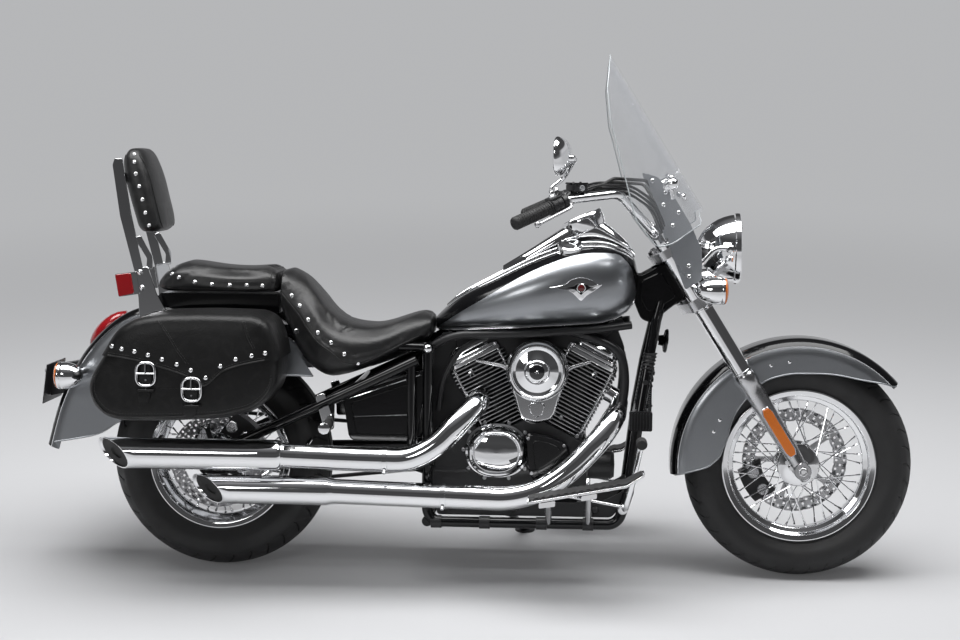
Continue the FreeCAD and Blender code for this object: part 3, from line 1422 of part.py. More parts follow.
def stand_bracket():
    """The stand's plate on the left lower rail, with its pin."""
    pivot = V(*stand_pivot)
    fold = stand_axis()
    gap = stand_eye_t / 2 + seat_gap
    head = Part.makeCylinder(stand_eye_r - 3, 8, pivot + fold * gap, fold)
    pin = Part.makeCylinder(stand_pin_r, 2 * gap, pivot - fold * gap, fold)
    cap = Part.makeCylinder(stand_pin_r + 4, 4, pivot - fold * (gap + 4), fold)
    arm = Part.makeBox(32, 52, 8, V(-16, -52, gap))
    spin = FreeCAD.Placement(pivot, FreeCAD.Rotation(V(1, 0, 0), V(0, 1, 0), fold, "ZXY"))
    arm.Placement = spin
    gusset = Part.makeBox(32, 22, 24, V(pivot.x - 16, rail_y + 2, rail_z + 2))
    return fuse([head, pin, cap, arm, gusset])


def group(*shapes):
    """Several solids in one node."""
    return Part.makeCompound(list(shapes))


def wheels():
    nodes = front_wheel()
    nodes.update(rear_wheel())
    return nodes


def steering():
    return {
        "fork_sliders": fork_sliders(),
        "fork_tubes": fork_tubes(),
        "steering_yokes": steering_yokes(),
        "front_axle": axle_front(),
        "front_fender": group(fender_front(), fender_front_stays()),
        "front_caliper": front_caliper(),
        "handlebar": handlebar(),
        "bar_controls": group(grips(), bar_switches()),
        "control_cables": control_cables(),
        "mirrors": mirrors(),
        "headlight": headlight(),
        "headlight_lens": headlight_lens(),
        "front_brackets": group(headlight_bracket(), windshield_brackets()),
        "front_signals": front_signals(),
        "windshield": windshield(),
    }


def chassis():
    return {
        "main_frame": main_frame(),
        "swingarm": swingarm(),
        "rear_axle": axle_rear(),
        "rear_caliper": rear_caliper(),
        "drive_belt": drive_belt(),
        "engine_cases": group(engine_cases(), oil_filter()),
        "engine_covers": group(right_covers(), left_cover(), front_pulley()),
        "cylinders": group(cylinder(1), cylinder(-1)),
        "rocker_covers": group(rocker_cover(1), rocker_cover(-1)),
        "air_cleaner": air_cleaner(),
        "radiator": radiator(),
        "exhaust_front": exhaust_front(),
        "exhaust_rear": exhaust_rear(),
        "fuel_tank": fuel_tank(),
        "tank_console": group(tank_console(), fuel_cap()),
        "rider_seat": rider_seat(),
        "passenger_seat": passenger_seat(),
        "fender_rails": group(fender_struts(), seat_base()),
        "rear_fender": rear_fender(),
        "rear_lamps": group(tail_light(), rear_signals()),
        "plate_bracket": plate_bracket(),
        "sissy_bar": sissy_bar(),
        "backrest_pad": backrest_pad(),
        "saddlebag_left": saddlebag(),
        "saddlebag_right": mirrored(saddlebag()),
        "side_covers": group(both(side_cover()), electrics_box()),
        "foot_rests": group(floorboard_pair(), foot_controls()),
    }


def moving_pieces():
    return {
        "bag_lid_left": bag_lid(),
        "bag_lid_right": mirrored(bag_lid()),
        "side_stand": side_stand(),
    }


def leaned(shape):
    """Leans a shape to the left, onto the side stand."""
    moved = shape.copy()
    tilt = FreeCAD.Placement(V(0, 0, 0), FreeCAD.Rotation(V(1, 0, 0), -lean_deg))
    moved.Placement = tilt.multiply(moved.Placement)
    return moved


def parked():
    """Every piece as the bike stands, and the step that puts the origin under the middle of its outline."""
    nodes = {}
    for build in (wheels, steering, chassis, moving_pieces):
        for name, shape in build().items():
            nodes[name] = leaned(shape)
    box = FreeCAD.BoundBox()
    for shape in nodes.values():
        box.add(shape.optimalBoundingBox(False, False))
    return nodes, V(-box.Center.x, -box.Center.y, -box.ZMin)


def main():
    os.makedirs("parts", exist_ok=True)
    nodes, step = parked()
    for name, shape in nodes.items():
        shape.translate(step)
        shape.exportStep("parts/" + name + ".step")


if __name__ == "__main__":
    main()
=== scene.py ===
import bmesh
import bpy
import json
import math
from mathutils import Matrix, Vector
from mathutils.bvhtree import BVHTree


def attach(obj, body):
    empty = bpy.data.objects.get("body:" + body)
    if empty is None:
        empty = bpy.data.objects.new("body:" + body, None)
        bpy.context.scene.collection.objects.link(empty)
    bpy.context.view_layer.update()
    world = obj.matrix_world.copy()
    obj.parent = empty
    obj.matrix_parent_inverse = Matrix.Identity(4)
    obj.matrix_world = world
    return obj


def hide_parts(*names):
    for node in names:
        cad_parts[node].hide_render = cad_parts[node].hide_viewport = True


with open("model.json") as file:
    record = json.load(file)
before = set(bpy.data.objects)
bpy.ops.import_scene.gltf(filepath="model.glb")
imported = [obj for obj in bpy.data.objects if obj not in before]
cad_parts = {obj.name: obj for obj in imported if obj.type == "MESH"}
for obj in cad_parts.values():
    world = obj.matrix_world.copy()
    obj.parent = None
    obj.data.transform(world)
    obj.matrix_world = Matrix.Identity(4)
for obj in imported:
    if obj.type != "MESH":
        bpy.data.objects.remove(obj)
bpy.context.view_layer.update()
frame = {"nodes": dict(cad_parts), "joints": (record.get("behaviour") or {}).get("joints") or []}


# Main frame, swingarm and fender rails: mild steel tube and plate, welded in a jig and sprayed gloss
# black. The side stand and the number plate's bracket are bolted on, in satin black.
def feed(tree, target, feeds):
    """Gives each socket its value, or the output that runs into it."""
    for socket, source in feeds.items():
        if isinstance(source, bpy.types.NodeSocket):
            tree.links.new(source, target.inputs[socket])
        else:
            target.inputs[socket].default_value = source


def node(tree, kind, feeds, **settings):
    """A shader node, set and fed; gives back its outputs."""
    made = tree.nodes.new("ShaderNode" + kind)
    for label, value in settings.items():
        setattr(made, label, value)
    feed(tree, made, feeds)
    return made.outputs


def mixed(tree, share, start, end):
    return node(tree, "Mix", {0: share, 6: start, 7: end}, data_type="RGBA")[2]


def effect(name, inputs, outputs):
    """An empty shader group with named sockets: its tree, what comes in, and its end node."""
    tree = bpy.data.node_groups.new(name, "ShaderNodeTree")
    for way, sockets in (("INPUT", inputs), ("OUTPUT", outputs)):
        for label, kind in sockets.items():
            tree.interface.new_socket(label, in_out=way, socket_type="NodeSocket" + kind)
    return tree, tree.nodes.new("NodeGroupInput").outputs, tree.nodes.new("NodeGroupOutput")


# The surface that every hard finish shares: patches that are a little duller, and a fine grain.
surface, given, result = effect("surface", {"Patch": "Float", "Smooth": "Float", "Rough": "Float",
    "Grain": "Float", "Height": "Float"}, {"Roughness": "Float", "Normal": "Vector"})
where = node(surface, "TexCoord", {})["Object"]
patches = node(surface, "TexNoise", {"Vector": where, "Scale": given["Patch"], "Detail": 5})
spread = node(surface, "MapRange", {"Value": patches["Fac"], "From Min": 0.35, "From Max": 0.68,
    "To Min": given["Smooth"], "To Max": given["Rough"]})
grains = node(surface, "TexNoise", {"Vector": where, "Scale": given["Grain"], "Detail": 4})
relief = node(surface, "Bump", {"Height": grains["Fac"], "Strength": given["Height"], "Distance": 0.0006})
feed(surface, result, {"Roughness": spread["Result"], "Normal": relief["Normal"]})

# Colour that changes a little over the piece: broad patches of the darker tone and small flecks.
tones, given, result = effect("tones", {"Light": "Color", "Dark": "Color", "Patch": "Float",
    "Fleck": "Float"}, {"Color": "Color"})
where = node(tones, "TexCoord", {})["Object"]
broad = node(tones, "TexNoise", {"Vector": where, "Scale": given["Patch"], "Detail": 6})
fleck = node(tones, "TexVoronoi", {"Vector": where, "Scale": given["Fleck"]})
cover = node(tones, "Math", {0: broad["Fac"], 1: fleck["Distance"]}, operation="MULTIPLY")
feed(tones, result, {"Color": mixed(tones, cover["Value"], given["Light"], given["Dark"])})


def finish(name, light, dark, smooth, rough, metallic=0.0, coat=0.0, patch=9.0, grain=700.0, height=0.1,
        fleck=900.0, specular=0.5):
    """A hard finish: paint, metal, rubber or plastic."""
    material = bpy.data.materials.new(name)
    material.use_nodes = True
    tree = material.node_tree
    skin = node(tree, "Group", {"Patch": patch, "Smooth": smooth, "Rough": rough, "Grain": grain,
        "Height": height}, node_tree=surface)
    colour = node(tree, "Group", {"Light": (*light, 1), "Dark": (*dark, 1), "Patch": patch, "Fleck": fleck},
        node_tree=tones)
    feed(tree, tree.nodes["Principled BSDF"], {"Base Color": colour["Color"], "Roughness": skin["Roughness"],
        "Normal": skin["Normal"], "Metallic": metallic, "Coat Weight": coat, "Coat Roughness": 0.04,
        "Specular IOR Level": specular})
    return material


def paint(material, *names):
    for name in names:
        frame["nodes"][name].material_slots[0].material = material


gloss_black = finish("gloss black paint", (0.004, 0.004, 0.0045), (0.007, 0.007, 0.008), 0.07, 0.13,
    coat=0.2, specular=0.3)
satin_black = finish("satin black paint", (0.012, 0.012, 0.013), (0.024, 0.024, 0.026), 0.3, 0.46,
    height=0.16)
paint(gloss_black, "main_frame", "swingarm", "fender_rails")
paint(satin_black, "side_stand", "plate_bracket")

# Neck covers: two pressed steel shells a side, sprayed gloss black, clipped over the steering neck.
# Like every piece they are drawn upright in millimetres, X ahead, Y to the rider's left, Z up from the
# ground, and then leaned onto the side stand with the model's own wheel axles.
joints = {joint["name"]: joint for joint in frame["joints"]}
left_way = Vector(joints["rear_wheel_spin"]["axis"])
ahead_way = Vector((1, 0, 0))
upright = Matrix((ahead_way, left_way, ahead_way.cross(left_way))).transposed().to_4x4()
front_axle = Vector((822.5, 0, 320))
rear_axle = Vector((-822.5, 0, 316.5))
upright.translation = Vector(joints["front_wheel_spin"]["pos_m"]) - upright @ (front_axle / 1000)


def lean(point):
    return upright @ (Vector(point) / 1000)


def loft(rings, loop=False):
    """Skin over rings that all have the same count of points, with flat ends unless it is a loop."""
    n = len(rings[0])
    points = [p for ring in rings for p in ring]
    faces = []
    for i in range(len(rings) if loop else len(rings) - 1):
        a = i * n
        b = (i + 1) % len(rings) * n
        faces += [(a + k, a + (k + 1) % n, b + (k + 1) % n, b + k) for k in range(n)]
    if not loop:
        faces.append(tuple(reversed(range(n))))
        faces.append(tuple(range(len(points) - n, len(points))))
    return points, faces


def rounded(points, bend, closed=False, steps=6):
    """The same line with its corners eased by cuts of up to bend."""
    points = [Vector(p) for p in points]
    if not bend:
        return points
    n = len(points)
    line = []
    for i, corner in enumerate(points):
        if not closed and i in (0, n - 1):
            line.append(corner)
            continue
        back = points[i - 1] - corner
        on = points[(i + 1) % n] - corner
        cut = min(bend, 0.48 * back.length, 0.48 * on.length)
        start = corner + back.normalized() * cut
        end = corner + on.normalized() * cut
        for k in range(steps + 1):
            t = k / steps
            line.append(start * (1 - t) ** 2 + corner * 2 * t * (1 - t) + end * t ** 2)
    return line


def on_side(a, b, c):
    return a, c, b


def plate(outline, low, high, corner=0, put=on_side, edge=0.0):
    """A flat plate between two heights, its rim eased by edge."""
    line = rounded([(a, b, 0) for a, b in outline], corner, closed=True)
    middle = sum(line, Vector()) / len(line)
    size = max((p - middle).length for p in line)
    shrink = 1 - edge / size
    sign = 1 if high > low else -1
    levels = [(low, 1)]
    if edge:
        levels = [(low, shrink), (low + sign * edge, 1), (high - sign * edge, 1), (high, shrink)]
    else:
        levels.append((high, 1))
    rings = []
    for level, scale in levels:
        rings.append([Vector(put(*(middle + (p - middle) * scale).xy, level)) for p in line])
    return loft(rings)


def other_side(parts):
    """The same parts on the bike's other side."""
    return [([Vector((p[0], -p[1], p[2])) for p in points], [face[::-1] for face in faces])
        for points, faces in parts]


def both(parts):
    return parts + other_side(parts)


def shade(shape, degrees):
    """Smooth faces, with a crease where two of them meet more sharply than that."""
    for face in shape.faces:
        face.smooth = True
    for rim in shape.edges:
        rim.smooth = not (len(rim.link_faces) == 2 and rim.calc_face_angle(0) > math.radians(degrees))


def make(name, body, material, parts, smooth=38, bevel=0.0, stands_for=""):
    """One object of several parts on one body, put into the leaned frame."""
    points = []
    faces = []
    for some_points, some_faces in parts:
        faces += [[i + len(points) for i in face] for face in some_faces]
        points += [lean(p) for p in some_points]
    mesh = bpy.data.meshes.new(name)
    mesh.from_pydata(points, [], faces)
    shape = bmesh.new()
    shape.from_mesh(mesh)
    bmesh.ops.remove_doubles(shape, verts=shape.verts, dist=1e-5)
    bmesh.ops.recalc_face_normals(shape, faces=shape.faces)
    shade(shape, smooth)
    shape.to_mesh(mesh)
    shape.free()
    mesh.materials.append(material)
    piece = bpy.data.objects.new(name, mesh)
    bpy.context.scene.collection.objects.link(piece)
    if bevel:
        ease = piece.modifiers.new("eased edges", "BEVEL")
        ease.width = bevel / 1000
        ease.segments = 2
        ease.limit_method = "ANGLE"
        ease.angle_limit = math.radians(35)
        ease.harden_normals = True
    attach(piece, body)
    if stands_for:
        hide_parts(stands_for)
        paint(material, stands_for)
    return piece


neck_line = [(350, 866), (366, 851), (438, 892), (498, 796), (440, 750), (404, 718), (372, 728), (350, 780)]
raised = [(368, 838), (426, 866), (472, 794), (428, 764), (392, 746), (368, 784)]
shields = [plate(neck_line, -36, -46, 14, edge=4), plate(raised, -45, -50, 12, edge=4)]
make("neck_covers", "chassis", gloss_black, both(shields), bevel=1)


# Loom and coil box: wiring in satin black sleeves along the frame's rails, with a moulded box under the
# tank and a guard behind the engine, all strapped and bolted to the frame's brackets.
def circle(r, count):
    turns = [2 * math.pi * k / count for k in range(count)]
    return [(r * math.cos(t), r * math.sin(t)) for t in turns]


def heading(line, i):
    """Which way a line runs at its i-th point."""
    return (line[min(i + 1, len(line) - 1)] - line[max(i - 1, 0)]).normalized()


def tube(points, r, bend=0, sides=16):
    """A round bar or pipe along a line; r is one radius or one for each end."""
    line = rounded(points, bend)
    radii = r if isinstance(r, tuple) else (r, r)
    across = (line[1] - line[0]).orthogonal().normalized()
    rings = []
    for i, p in enumerate(line):
        way = heading(line, i)
        across = (across - way * across.dot(way)).normalized()
        up = way.cross(across)
        share = i / (len(line) - 1)
        here = radii[0] * (1 - share) + radii[1] * share
        rings.append([p + across * a + up * b for a, b in circle(here, sides)])
    return loft(rings)


under = [(-190, 664), (-190, 686), (60, 694), (258, 706), (316, 734), (326, 722), (262, 672), (206, 664),
    (150, 690), (10, 690), (-66, 660)]
loom = [plate(under, -66, -72, 10, edge=2)]
loom.append(tube([(-214, -96, 650), (-150, -112, 684), (60, -118, 690), (250, -110, 704), (344, -92, 716)],
    11, 40, 16))
loom.append(tube([(150, -70, 700), (250, -96, 676), (318, -92, 640), (330, -100, 560), (318, -110, 470)], 13,
    40, 16))
loom.append(tube([(-60, -92, 676), (-130, -96, 650), (-184, -100, 560), (-196, -100, 470)], 8, 40, 12))
box = [(-150, 640), (-150, 700), (-60, 704), (300, 716), (330, 640), (250, 600), (83, 560), (-90, 600)]
loom.append(plate(box, -1, -56, 14, edge=3))
guard = [(-222, 320), (-226, 650), (-196, 678), (-110, 678), (-92, 560), (-40, 420), (-120, 320)]
loom.append(plate(guard, -1, -50, 20, edge=4))
make("engine_loom", "chassis", satin_black, both(loom))


# Cradle covers and caps: black steel channels over the lower rails on clamped rubber mounts, and the
# chromed caps and bolts that close the frame's pivots and brackets.
def turned(profile, centre, axis, steps=72, loop=False):
    """A turned part: the profile is (radius, height along the axis)."""
    axis = Vector(axis).normalized()
    across = axis.orthogonal().normalized()
    up = axis.cross(across)
    rings = []
    for r, h in profile:
        rings.append([Vector(centre) + axis * h + across * a + up * b for a, b in circle(max(r, 0.02),
            steps)])
    return loft(rings, loop)


def bolt(spot, way, r=5.0, h=4.5):
    """A socket-headed bolt."""
    return turned([(r, 0), (r, h - 0.8), (r - 0.8, h), (r * 0.52, h), (r * 0.5, h - 2.6), (0, h - 2.6)],
        spot, way, 18)


covers = [plate([(-196, 176), (-196, 214), (-60, 222), (60, 214), (262, 218), (318, 246), (342, 262),
    (326, 214), (296, 176)], -118, -124, 12, edge=2)]
for x in (-170, 20, 250):
    covers.append(turned([(11, 0), (11, 5), (7, 8), (0, 8)], (x, -124, 196), (0, -1, 0), 24))
for x, z in ((-196, 158), (-60, 158), (100, 158), (230, 158)):
    covers.append(turned([(18, -15), (18, 15)], (x, -134, z), (1, 0, 0), 32))
make("cradle_covers", "chassis", satin_black, both(covers), bevel=1)
chrome = finish("chrome", (0.94, 0.945, 0.955), (0.84, 0.85, 0.865), 0.03, 0.075, metallic=1.0, height=0.015)
caps = []
for x, y, z, r in ((-266, -162, 332, 21), (-500, -151, 432, 11), (-222, -149, 648, 12)):
    caps.append(turned([(r, 0), (r, 3), (r - 3, 7), (r * 0.5, 8.5), (0, 9)], (x, y, z), (0, -1, 0), 32))
caps.append(bolt((368, -150, 470), (0, -1, 0), 6, 6))
caps.append(bolt((-592, -136, 690), (0, -1, 0), 7, 6))
make("frame_caps", "chassis", chrome, both(caps))

# Crankcase: two aluminium castings painted wrinkle black and bolted together round their joint faces, with
# the clutch under a chromed oval cover and the ignition under a gloss black one ahead of it on the right.
wrinkle = finish("wrinkle black casting", (0.014, 0.014, 0.015), (0.028, 0.028, 0.03), 0.3, 0.5,
    grain=1100.0, height=0.8, coat=0.15)
paint(wrinkle, "engine_cases")


def squared(value, power):
    """A sine or cosine pushed out, which makes a rounded square of a circle."""
    return math.copysign(abs(value) ** power, value)


def clutch_line(share, count=64):
    """The clutch cover's outline in the bike's side view."""
    return [(-29 + 82 * share * squared(a, 2 / 2.3), 356 + 71 * share * squared(b, 2 / 2.3))
        for a, b in circle(1, count)]


clutch_steps = [(1.08, -87), (1.08, -96), (1.0, -99), (0.97, -104), (0.97, -128), (0.945, -137),
    (0.90, -142), (0.84, -144), (0.80, -142.5), (0.775, -139), (0.75, -139), (0.735, -141), (0.60, -145),
    (0.36, -148), (0.02, -149)]
dish = loft([[Vector((x, y, z)) for x, z in clutch_line(share)] for share, y in clutch_steps])
make("clutch_cover", "chassis", chrome, [dish], smooth=30, stands_for="engine_covers")
case_bolts = [bolt((x, -88, z), (0, -1, 0), 5.5, 6) for x, z in clutch_line(1.16, 10)]
for x, z in ((196, 250), (214, 330), (196, 400), (150, 452), (-180, 388), (-196, 250), (-146, 196),
        (60, 196), (150, 196)):
    for side in (-1, 1):
        case_bolts.append(bolt((x, side * 88, z), (0, side, 0), 6, 6))
front_line = [(50, 414), (60, 300), (92, 252), (120, 262), (180, 332), (172, 384), (128, 402)]
cover = plate(front_line, -86, -126, 26, edge=7)
rib = plate([(72, 396), (80, 312), (98, 282), (156, 340), (150, 372), (122, 386)], -126, -131, 20, edge=3)
make("ignition_cover", "chassis", gloss_black, [cover, rib], bevel=1.2)
for x, z in ((60, 396), (70, 298), (100, 268), (166, 336), (160, 378)):
    case_bolts.append(bolt((x, -125, z), (0, -1, 0), 4.5, 4))
alternator = [(96, 86), (96, 104), (92, 110), (84, 112), (80, 120), (80, 130), (74, 142), (60, 148),
    (58, 145), (30, 147), (28, 150), (0, 151)]
make("alternator_cover", "chassis", chrome, [turned([(r, h - 86) for r, h in alternator], (82, 86, 300),
    (0, 1, 0), 96)])
for a, b in circle(88, 8):
    case_bolts.append(bolt((82 + a, 111, 300 + b), (0, 1, 0), 5, 5))
steel = finish("brushed steel", (0.42, 0.42, 0.43), (0.27, 0.27, 0.28), 0.26, 0.4, metallic=1.0, height=0.1)
make("case_bolts", "chassis", steel, case_bolts)
sump = [plate([(-150, 186), (-150, 176), (166, 176), (166, 186)], y - 2, y + 2) for y in range(-72, 73, 16)]
make("sump_fins", "chassis", satin_black, sump)

# Barrels and heads: cast iron liners in finned aluminium, painted black, with the fins' outer edges
# machined bright afterwards; each head carries a chromed rocker cover with four cap screws.
satin_metal = finish("satin aluminium", (0.66, 0.66, 0.67), (0.45, 0.45, 0.47), 0.2, 0.34, metallic=1.0,
    height=0.06)
tilt = math.radians(27.5)


def bore(sign, across, left, up):
    """A place in a barrel's own frame: across it, to the bike's left, and along the bore."""
    c = math.cos(tilt)
    s = math.sin(tilt) * sign
    return Vector((70 + across * c + up * s, left, 300 - across * s + up * c))


def fin_line(sign, up, wide, deep, corner):
    """One fin's outline, cut off in the valley between the two barrels."""
    limit = (2.0 - up * math.sin(tilt)) / math.cos(tilt)
    line = []
    for p in rounded([(-wide, -deep, 0), (wide, -deep, 0), (wide, deep, 0), (-wide, deep, 0)], corner, True,
            4):
        a = max(p.x, limit) if sign > 0 else min(p.x, -limit)
        line.append((a, p.y))
    return line


fins = []
edges = []
cores = []
for sign in (1, -1):
    cores.append(loft([[bore(sign, a, b, up) for a, b in circle(60, 40)] for up in (140, 356)]))
    for k in range(19):
        up = 146 + 11 * k
        deep = 77 if k < 14 else 79
        wide = 83 if k < 14 else 85
        corner = 24 if k < 14 else 12
        for grow, low, high, store in ((-1.2, -1.5, 1.5, fins), (0.2, -1.1, 1.1, edges)):
            line = fin_line(sign, up, wide + grow, deep + grow, corner)
            store.append(loft([[bore(sign, a, b, up + h) for a, b in line] for h in (low, high)]))
make("barrel_fins", "chassis", satin_black, fins + cores, stands_for="cylinders")
make("fin_edges", "chassis", satin_metal, edges)
covers = []
caps = []
studs = []
for sign in (1, -1):
    def on_bore(a, b, c, sign=sign):
        return bore(sign, a, b, c)
    foot = [(-80, -74), (80, -74), (80, 74), (-80, 74)]
    covers.append(plate(foot, 349, 364, 20, on_bore, 2))
    covers.append(plate([(a * 0.9, b * 0.94) for a, b in foot], 362, 376, 18, on_bore, 3))
    caps.append(plate([(a * 0.84, b * 0.86) for a, b in foot], 374, 403, 26, on_bore, 11))
    for a in (-70, 70):
        for b in (-64, 64):
            studs.append(bolt(bore(sign, a, b, 364), bore(sign, 0, 0, 1) - bore(sign, 0, 0, 0), 6, 7))
            studs.append(tube([bore(sign, a, b * 1.06, 150), bore(sign, a, b * 1.06, 352)], 4.5, 0, 10))
    plug = bore(sign, sign * 30, -70, 318)
    studs.append(turned([(9, 0), (9, 12), (7, 16), (7, 34), (0, 36)], plug, (0, -1, 0.3), 16))
make("rocker_boxes", "chassis", chrome, covers + caps, bevel=1.5, smooth=30, stands_for="rocker_covers")
make("head_bolts", "chassis", chrome, studs)

# Air cleaner: a pressed steel cover with a dished face and a centre screw, chromed, on a backing
# plate whose shield-shaped foot covers the joint between the barrels.
shield = [(83 + 88 * math.cos(math.radians(a)), 587 + 88 * math.sin(math.radians(a)))
    for a in range(-34, 215, 8)]
shield += [(22, 505), (32, 466), (44, 446), (83, 437), (122, 446), (134, 466), (144, 505)]
make("air_cleaner_shield", "chassis", chrome, [plate(shield, -92, -122, 12, edge=7)], bevel=2, smooth=30,
    stands_for="air_cleaner")
dish = [(84, -120), (85, -130), (82, -141), (77, -147), (72, -148), (68, -145), (65, -139), (60, -137),
    (46, -141), (36, -145), (34, -149), (31, -153), (24, -156), (12, -158), (11.5, -156.5), (6, -157),
    (0, -157.5)]
make("air_cleaner_dish", "chassis", chrome, [turned([(r, -h) for r, h in dish], (83, 0, 587), (0, -1, 0),
    120)], smooth=30)
foot_ring = [(60, 486), (68, 462), (83, 455), (98, 462), (106, 486), (102, 498), (64, 498)]
make("air_cleaner_foot", "chassis", chrome, [plate(foot_ring, -121, -128, 9, edge=3)], bevel=1)
gloss_cap = finish("black glass cap", (0.01, 0.01, 0.012), (0.016, 0.016, 0.018), 0.05, 0.09, coat=1.0)
make("air_cleaner_cap", "chassis", gloss_cap, [turned([(22, 0), (21, 3.2), (13, 5.2), (4, 5.8), (0, 5.8)],
    (83, -155.4, 587), (0, -1, 0), 60)])
make("air_cleaner_screw", "chassis", chrome, [bolt((83, -160.6, 587), (0, -1, 0), 4.5, 3)])
throat = [tube([(83, -92, 568), (83, 14, 568)], 26, 0, 32)]
for sign in (1, -1):
    throat.append(tube([(83, 0, 568), (83 + sign * 40, 0, 572), bore(sign, -sign * 60, 0, 300)], 20, 20, 24))
    throat.append(tube([(83 + sign * 58, -93, 566), (83 + sign * 96, -90, 596), bore(sign, 0, -80, 348)], 6,
        12, 12))
make("intake_manifold", "chassis", satin_metal, throat)


# Exhausts: each header runs inside a full-length chromed heat shield to a straight muffler that is cut
# on the slant, with a black end plate set a little inside its mouth.
def duct(line, radii, bend):
    """A pipe whose radius changes along its line: radii are (share of its length, radius)."""
    path = rounded(line, bend, steps=10)
    lengths = [0.0]
    for a, b in zip(path, path[1:]):
        lengths.append(lengths[-1] + (b - a).length)
    across = Vector((0, 0, 1)).cross(path[1] - path[0]).normalized()
    rings = []
    for i, p in enumerate(path):
        way = heading(path, i)
        across = (across - way * across.dot(way)).normalized()
        up = way.cross(across)
        share = lengths[i] / lengths[-1]
        r = radii[-1][1]
        for (s0, r0), (s1, r1) in zip(radii, radii[1:]):
            if s0 <= share <= s1:
                t = (share - s0) / max(s1 - s0, 1e-6)
                r = r0 + (r1 - r0) * t * t * (3 - 2 * t)
                break
        rings.append([p + across * a + up * b for a, b in circle(r, 48)])
    return loft(rings)


def muffler(tip, front, y, z, r, slant):
    """The shell from its front collar to its slanted mouth, then back inside to the end plate."""
    def ring(x, radius, lean_back):
        points = []
        for a, b in circle(radius, 64):
            across_cut = 0.87 * a + 0.49 * b
            points.append(Vector((x + lean_back * (0.5 - across_cut / (2 * r)), y + a, z + b)))
        return points
    rows = [(front + 12, 34.5, 0), (front + 4, 36, 0), (front, r - 3, 0), (front - 8, r, 0),
        (front - 60, r, 0), (tip + slant + 60, r, 0), (tip + 24, r, slant), (tip + 1.5, r, slant),
        (tip, r - 1.2, slant), (tip + 0.8, r - 3.2, slant), (tip + 40, r - 4.0, slant)]
    shell = loft([ring(*row) for row in rows])
    plug = loft([ring(tip + 16, r - 3.6, slant), ring(tip + 9, r - 3.6, slant), ring(tip + 7, r - 6, slant),
        ring(tip + 8, 0.5 * r, slant), ring(tip + 8.6, 0.36 * r, slant), ring(tip + 30, 0.34 * r, slant)])
    return shell, plug


soot = finish("heat-proof black", (0.010, 0.010, 0.010), (0.02, 0.019, 0.018), 0.5, 0.7, height=0.4)
upper_line = [(-72, -80, 506), (-78, -130, 505), (-84, -176, 496), (-128, -222, 452), (-196, -240, 382),
    (-266, -240, 347), (-420, -240, 349), (-632, -240, 355)]
upper_radii = [(0, 24), (0.04, 24), (0.1, 33), (0.8, 34), (1, 34.5)]
lower_line = [bore(1, 84, -40, 292), bore(1, 128, -46, 290), (300, -150, 462), (262, -190, 408),
    (178, -212, 320), (96, -214, 262), (10, -216, 240), (-120, -232, 247), (-496, -236, 258)]
lower_radii = [(0, 24), (0.06, 24), (0.15, 32), (0.8, 34), (1, 34.5)]
plugs = []
for word, cad, place, line, radii, bend in (("upper", "exhaust_rear", (-1140, -620, -240, 355, 43, 104),
        upper_line, upper_radii, 70), ("lower", "exhaust_front", (-876, -484, -236, 258, 40, 102),
        lower_line, lower_radii, 60)):
    shell, plug = muffler(*place)
    plugs.append(plug)
    make(word + "_muffler", "chassis", chrome, [shell], smooth=30, stands_for=cad)
    make(word + "_heat_shield", "chassis", chrome, [duct(line, radii, bend)], smooth=30)
make("muffler_end_plates", "chassis", soot, plugs, smooth=30)
clamps = []
for x, y, z in ((-330, -240, 347.5), (-170, -233, 249)):
    clamps.append(turned([(34.6, -8), (36, -7), (36, 7), (34.6, 8)], (x, y, z), (1, 0, 0.01), 48))
    clamps.append(bolt((x, y - 30, z - 24), (0, -0.6, -0.8), 5, 10))
for x in (-980, -560):
    clamps.append(tube([(x, -200, 372), (x + 10, -158, 388)], 7, 0, 12))
clamps.append(tube([(-700, -205, 274), (-660, -158, 300)], 7, 0, 12))
make("exhaust_clamps", "chassis", chrome, clamps)

# Radiator, air hose and horn: a brazed aluminium core behind a wire guard, a corrugated rubber hose beside
# it and a pressed steel horn above, all black and hung from the frame's front tubes.
paint(satin_black, "radiator")
core = []
for k in range(27):
    z = 440 + 5.8 * k
    core.append(plate([(396, -78), (401, -78), (401, 78), (396, 78)], z, z + 1.2, 0,
        lambda a, b, c: (a, b, c)))
make("radiator_core", "chassis", satin_metal, core)
guard = [tube([(403, y, 438), (403, y, 594)], 1.8, 0, 8) for y in range(-72, 73, 12)]
guard += [tube([(404, -82, z), (404, 82, z)], 3, 0, 8) for z in (436, 488, 544, 596)]
make("radiator_guard", "chassis", satin_black, guard)
rings = []
for k in range(57):
    p = Vector((398, -104, 640)).lerp(Vector((372, -112, 500)), k / 56)
    r = 19.5 if k % 4 in (0, 1) else 16.5
    rings.append([p + Vector((a * r, b * r, 0)) for a, b in circle(1, 32)])
make("air_hose", "chassis", satin_black, [loft(rings)], smooth=60)
horn = [(0, -24), (14, -24), (16, -12), (30, -9), (34, -5), (34, 0), (30, 2), (27, 0), (12, 1), (10, 4),
    (0, 4)]
parts = [turned(horn, (448, 0, 664), (1, 0, -0.1), 48), tube([(426, 0, 668), (408, -30, 700),
    (398, -86, 650)], 6, 16, 12)]
make("horn", "chassis", gloss_black, parts)


# Tyres: bias-ply road rubber with slanted rain grooves moulded into the crown, two grooves right round it
# and plain sidewalls, seated on the wire wheels' rims.
def on_wheel(axle, r, y, turn):
    return axle + Vector((r * math.cos(turn), y, r * math.sin(turn)))


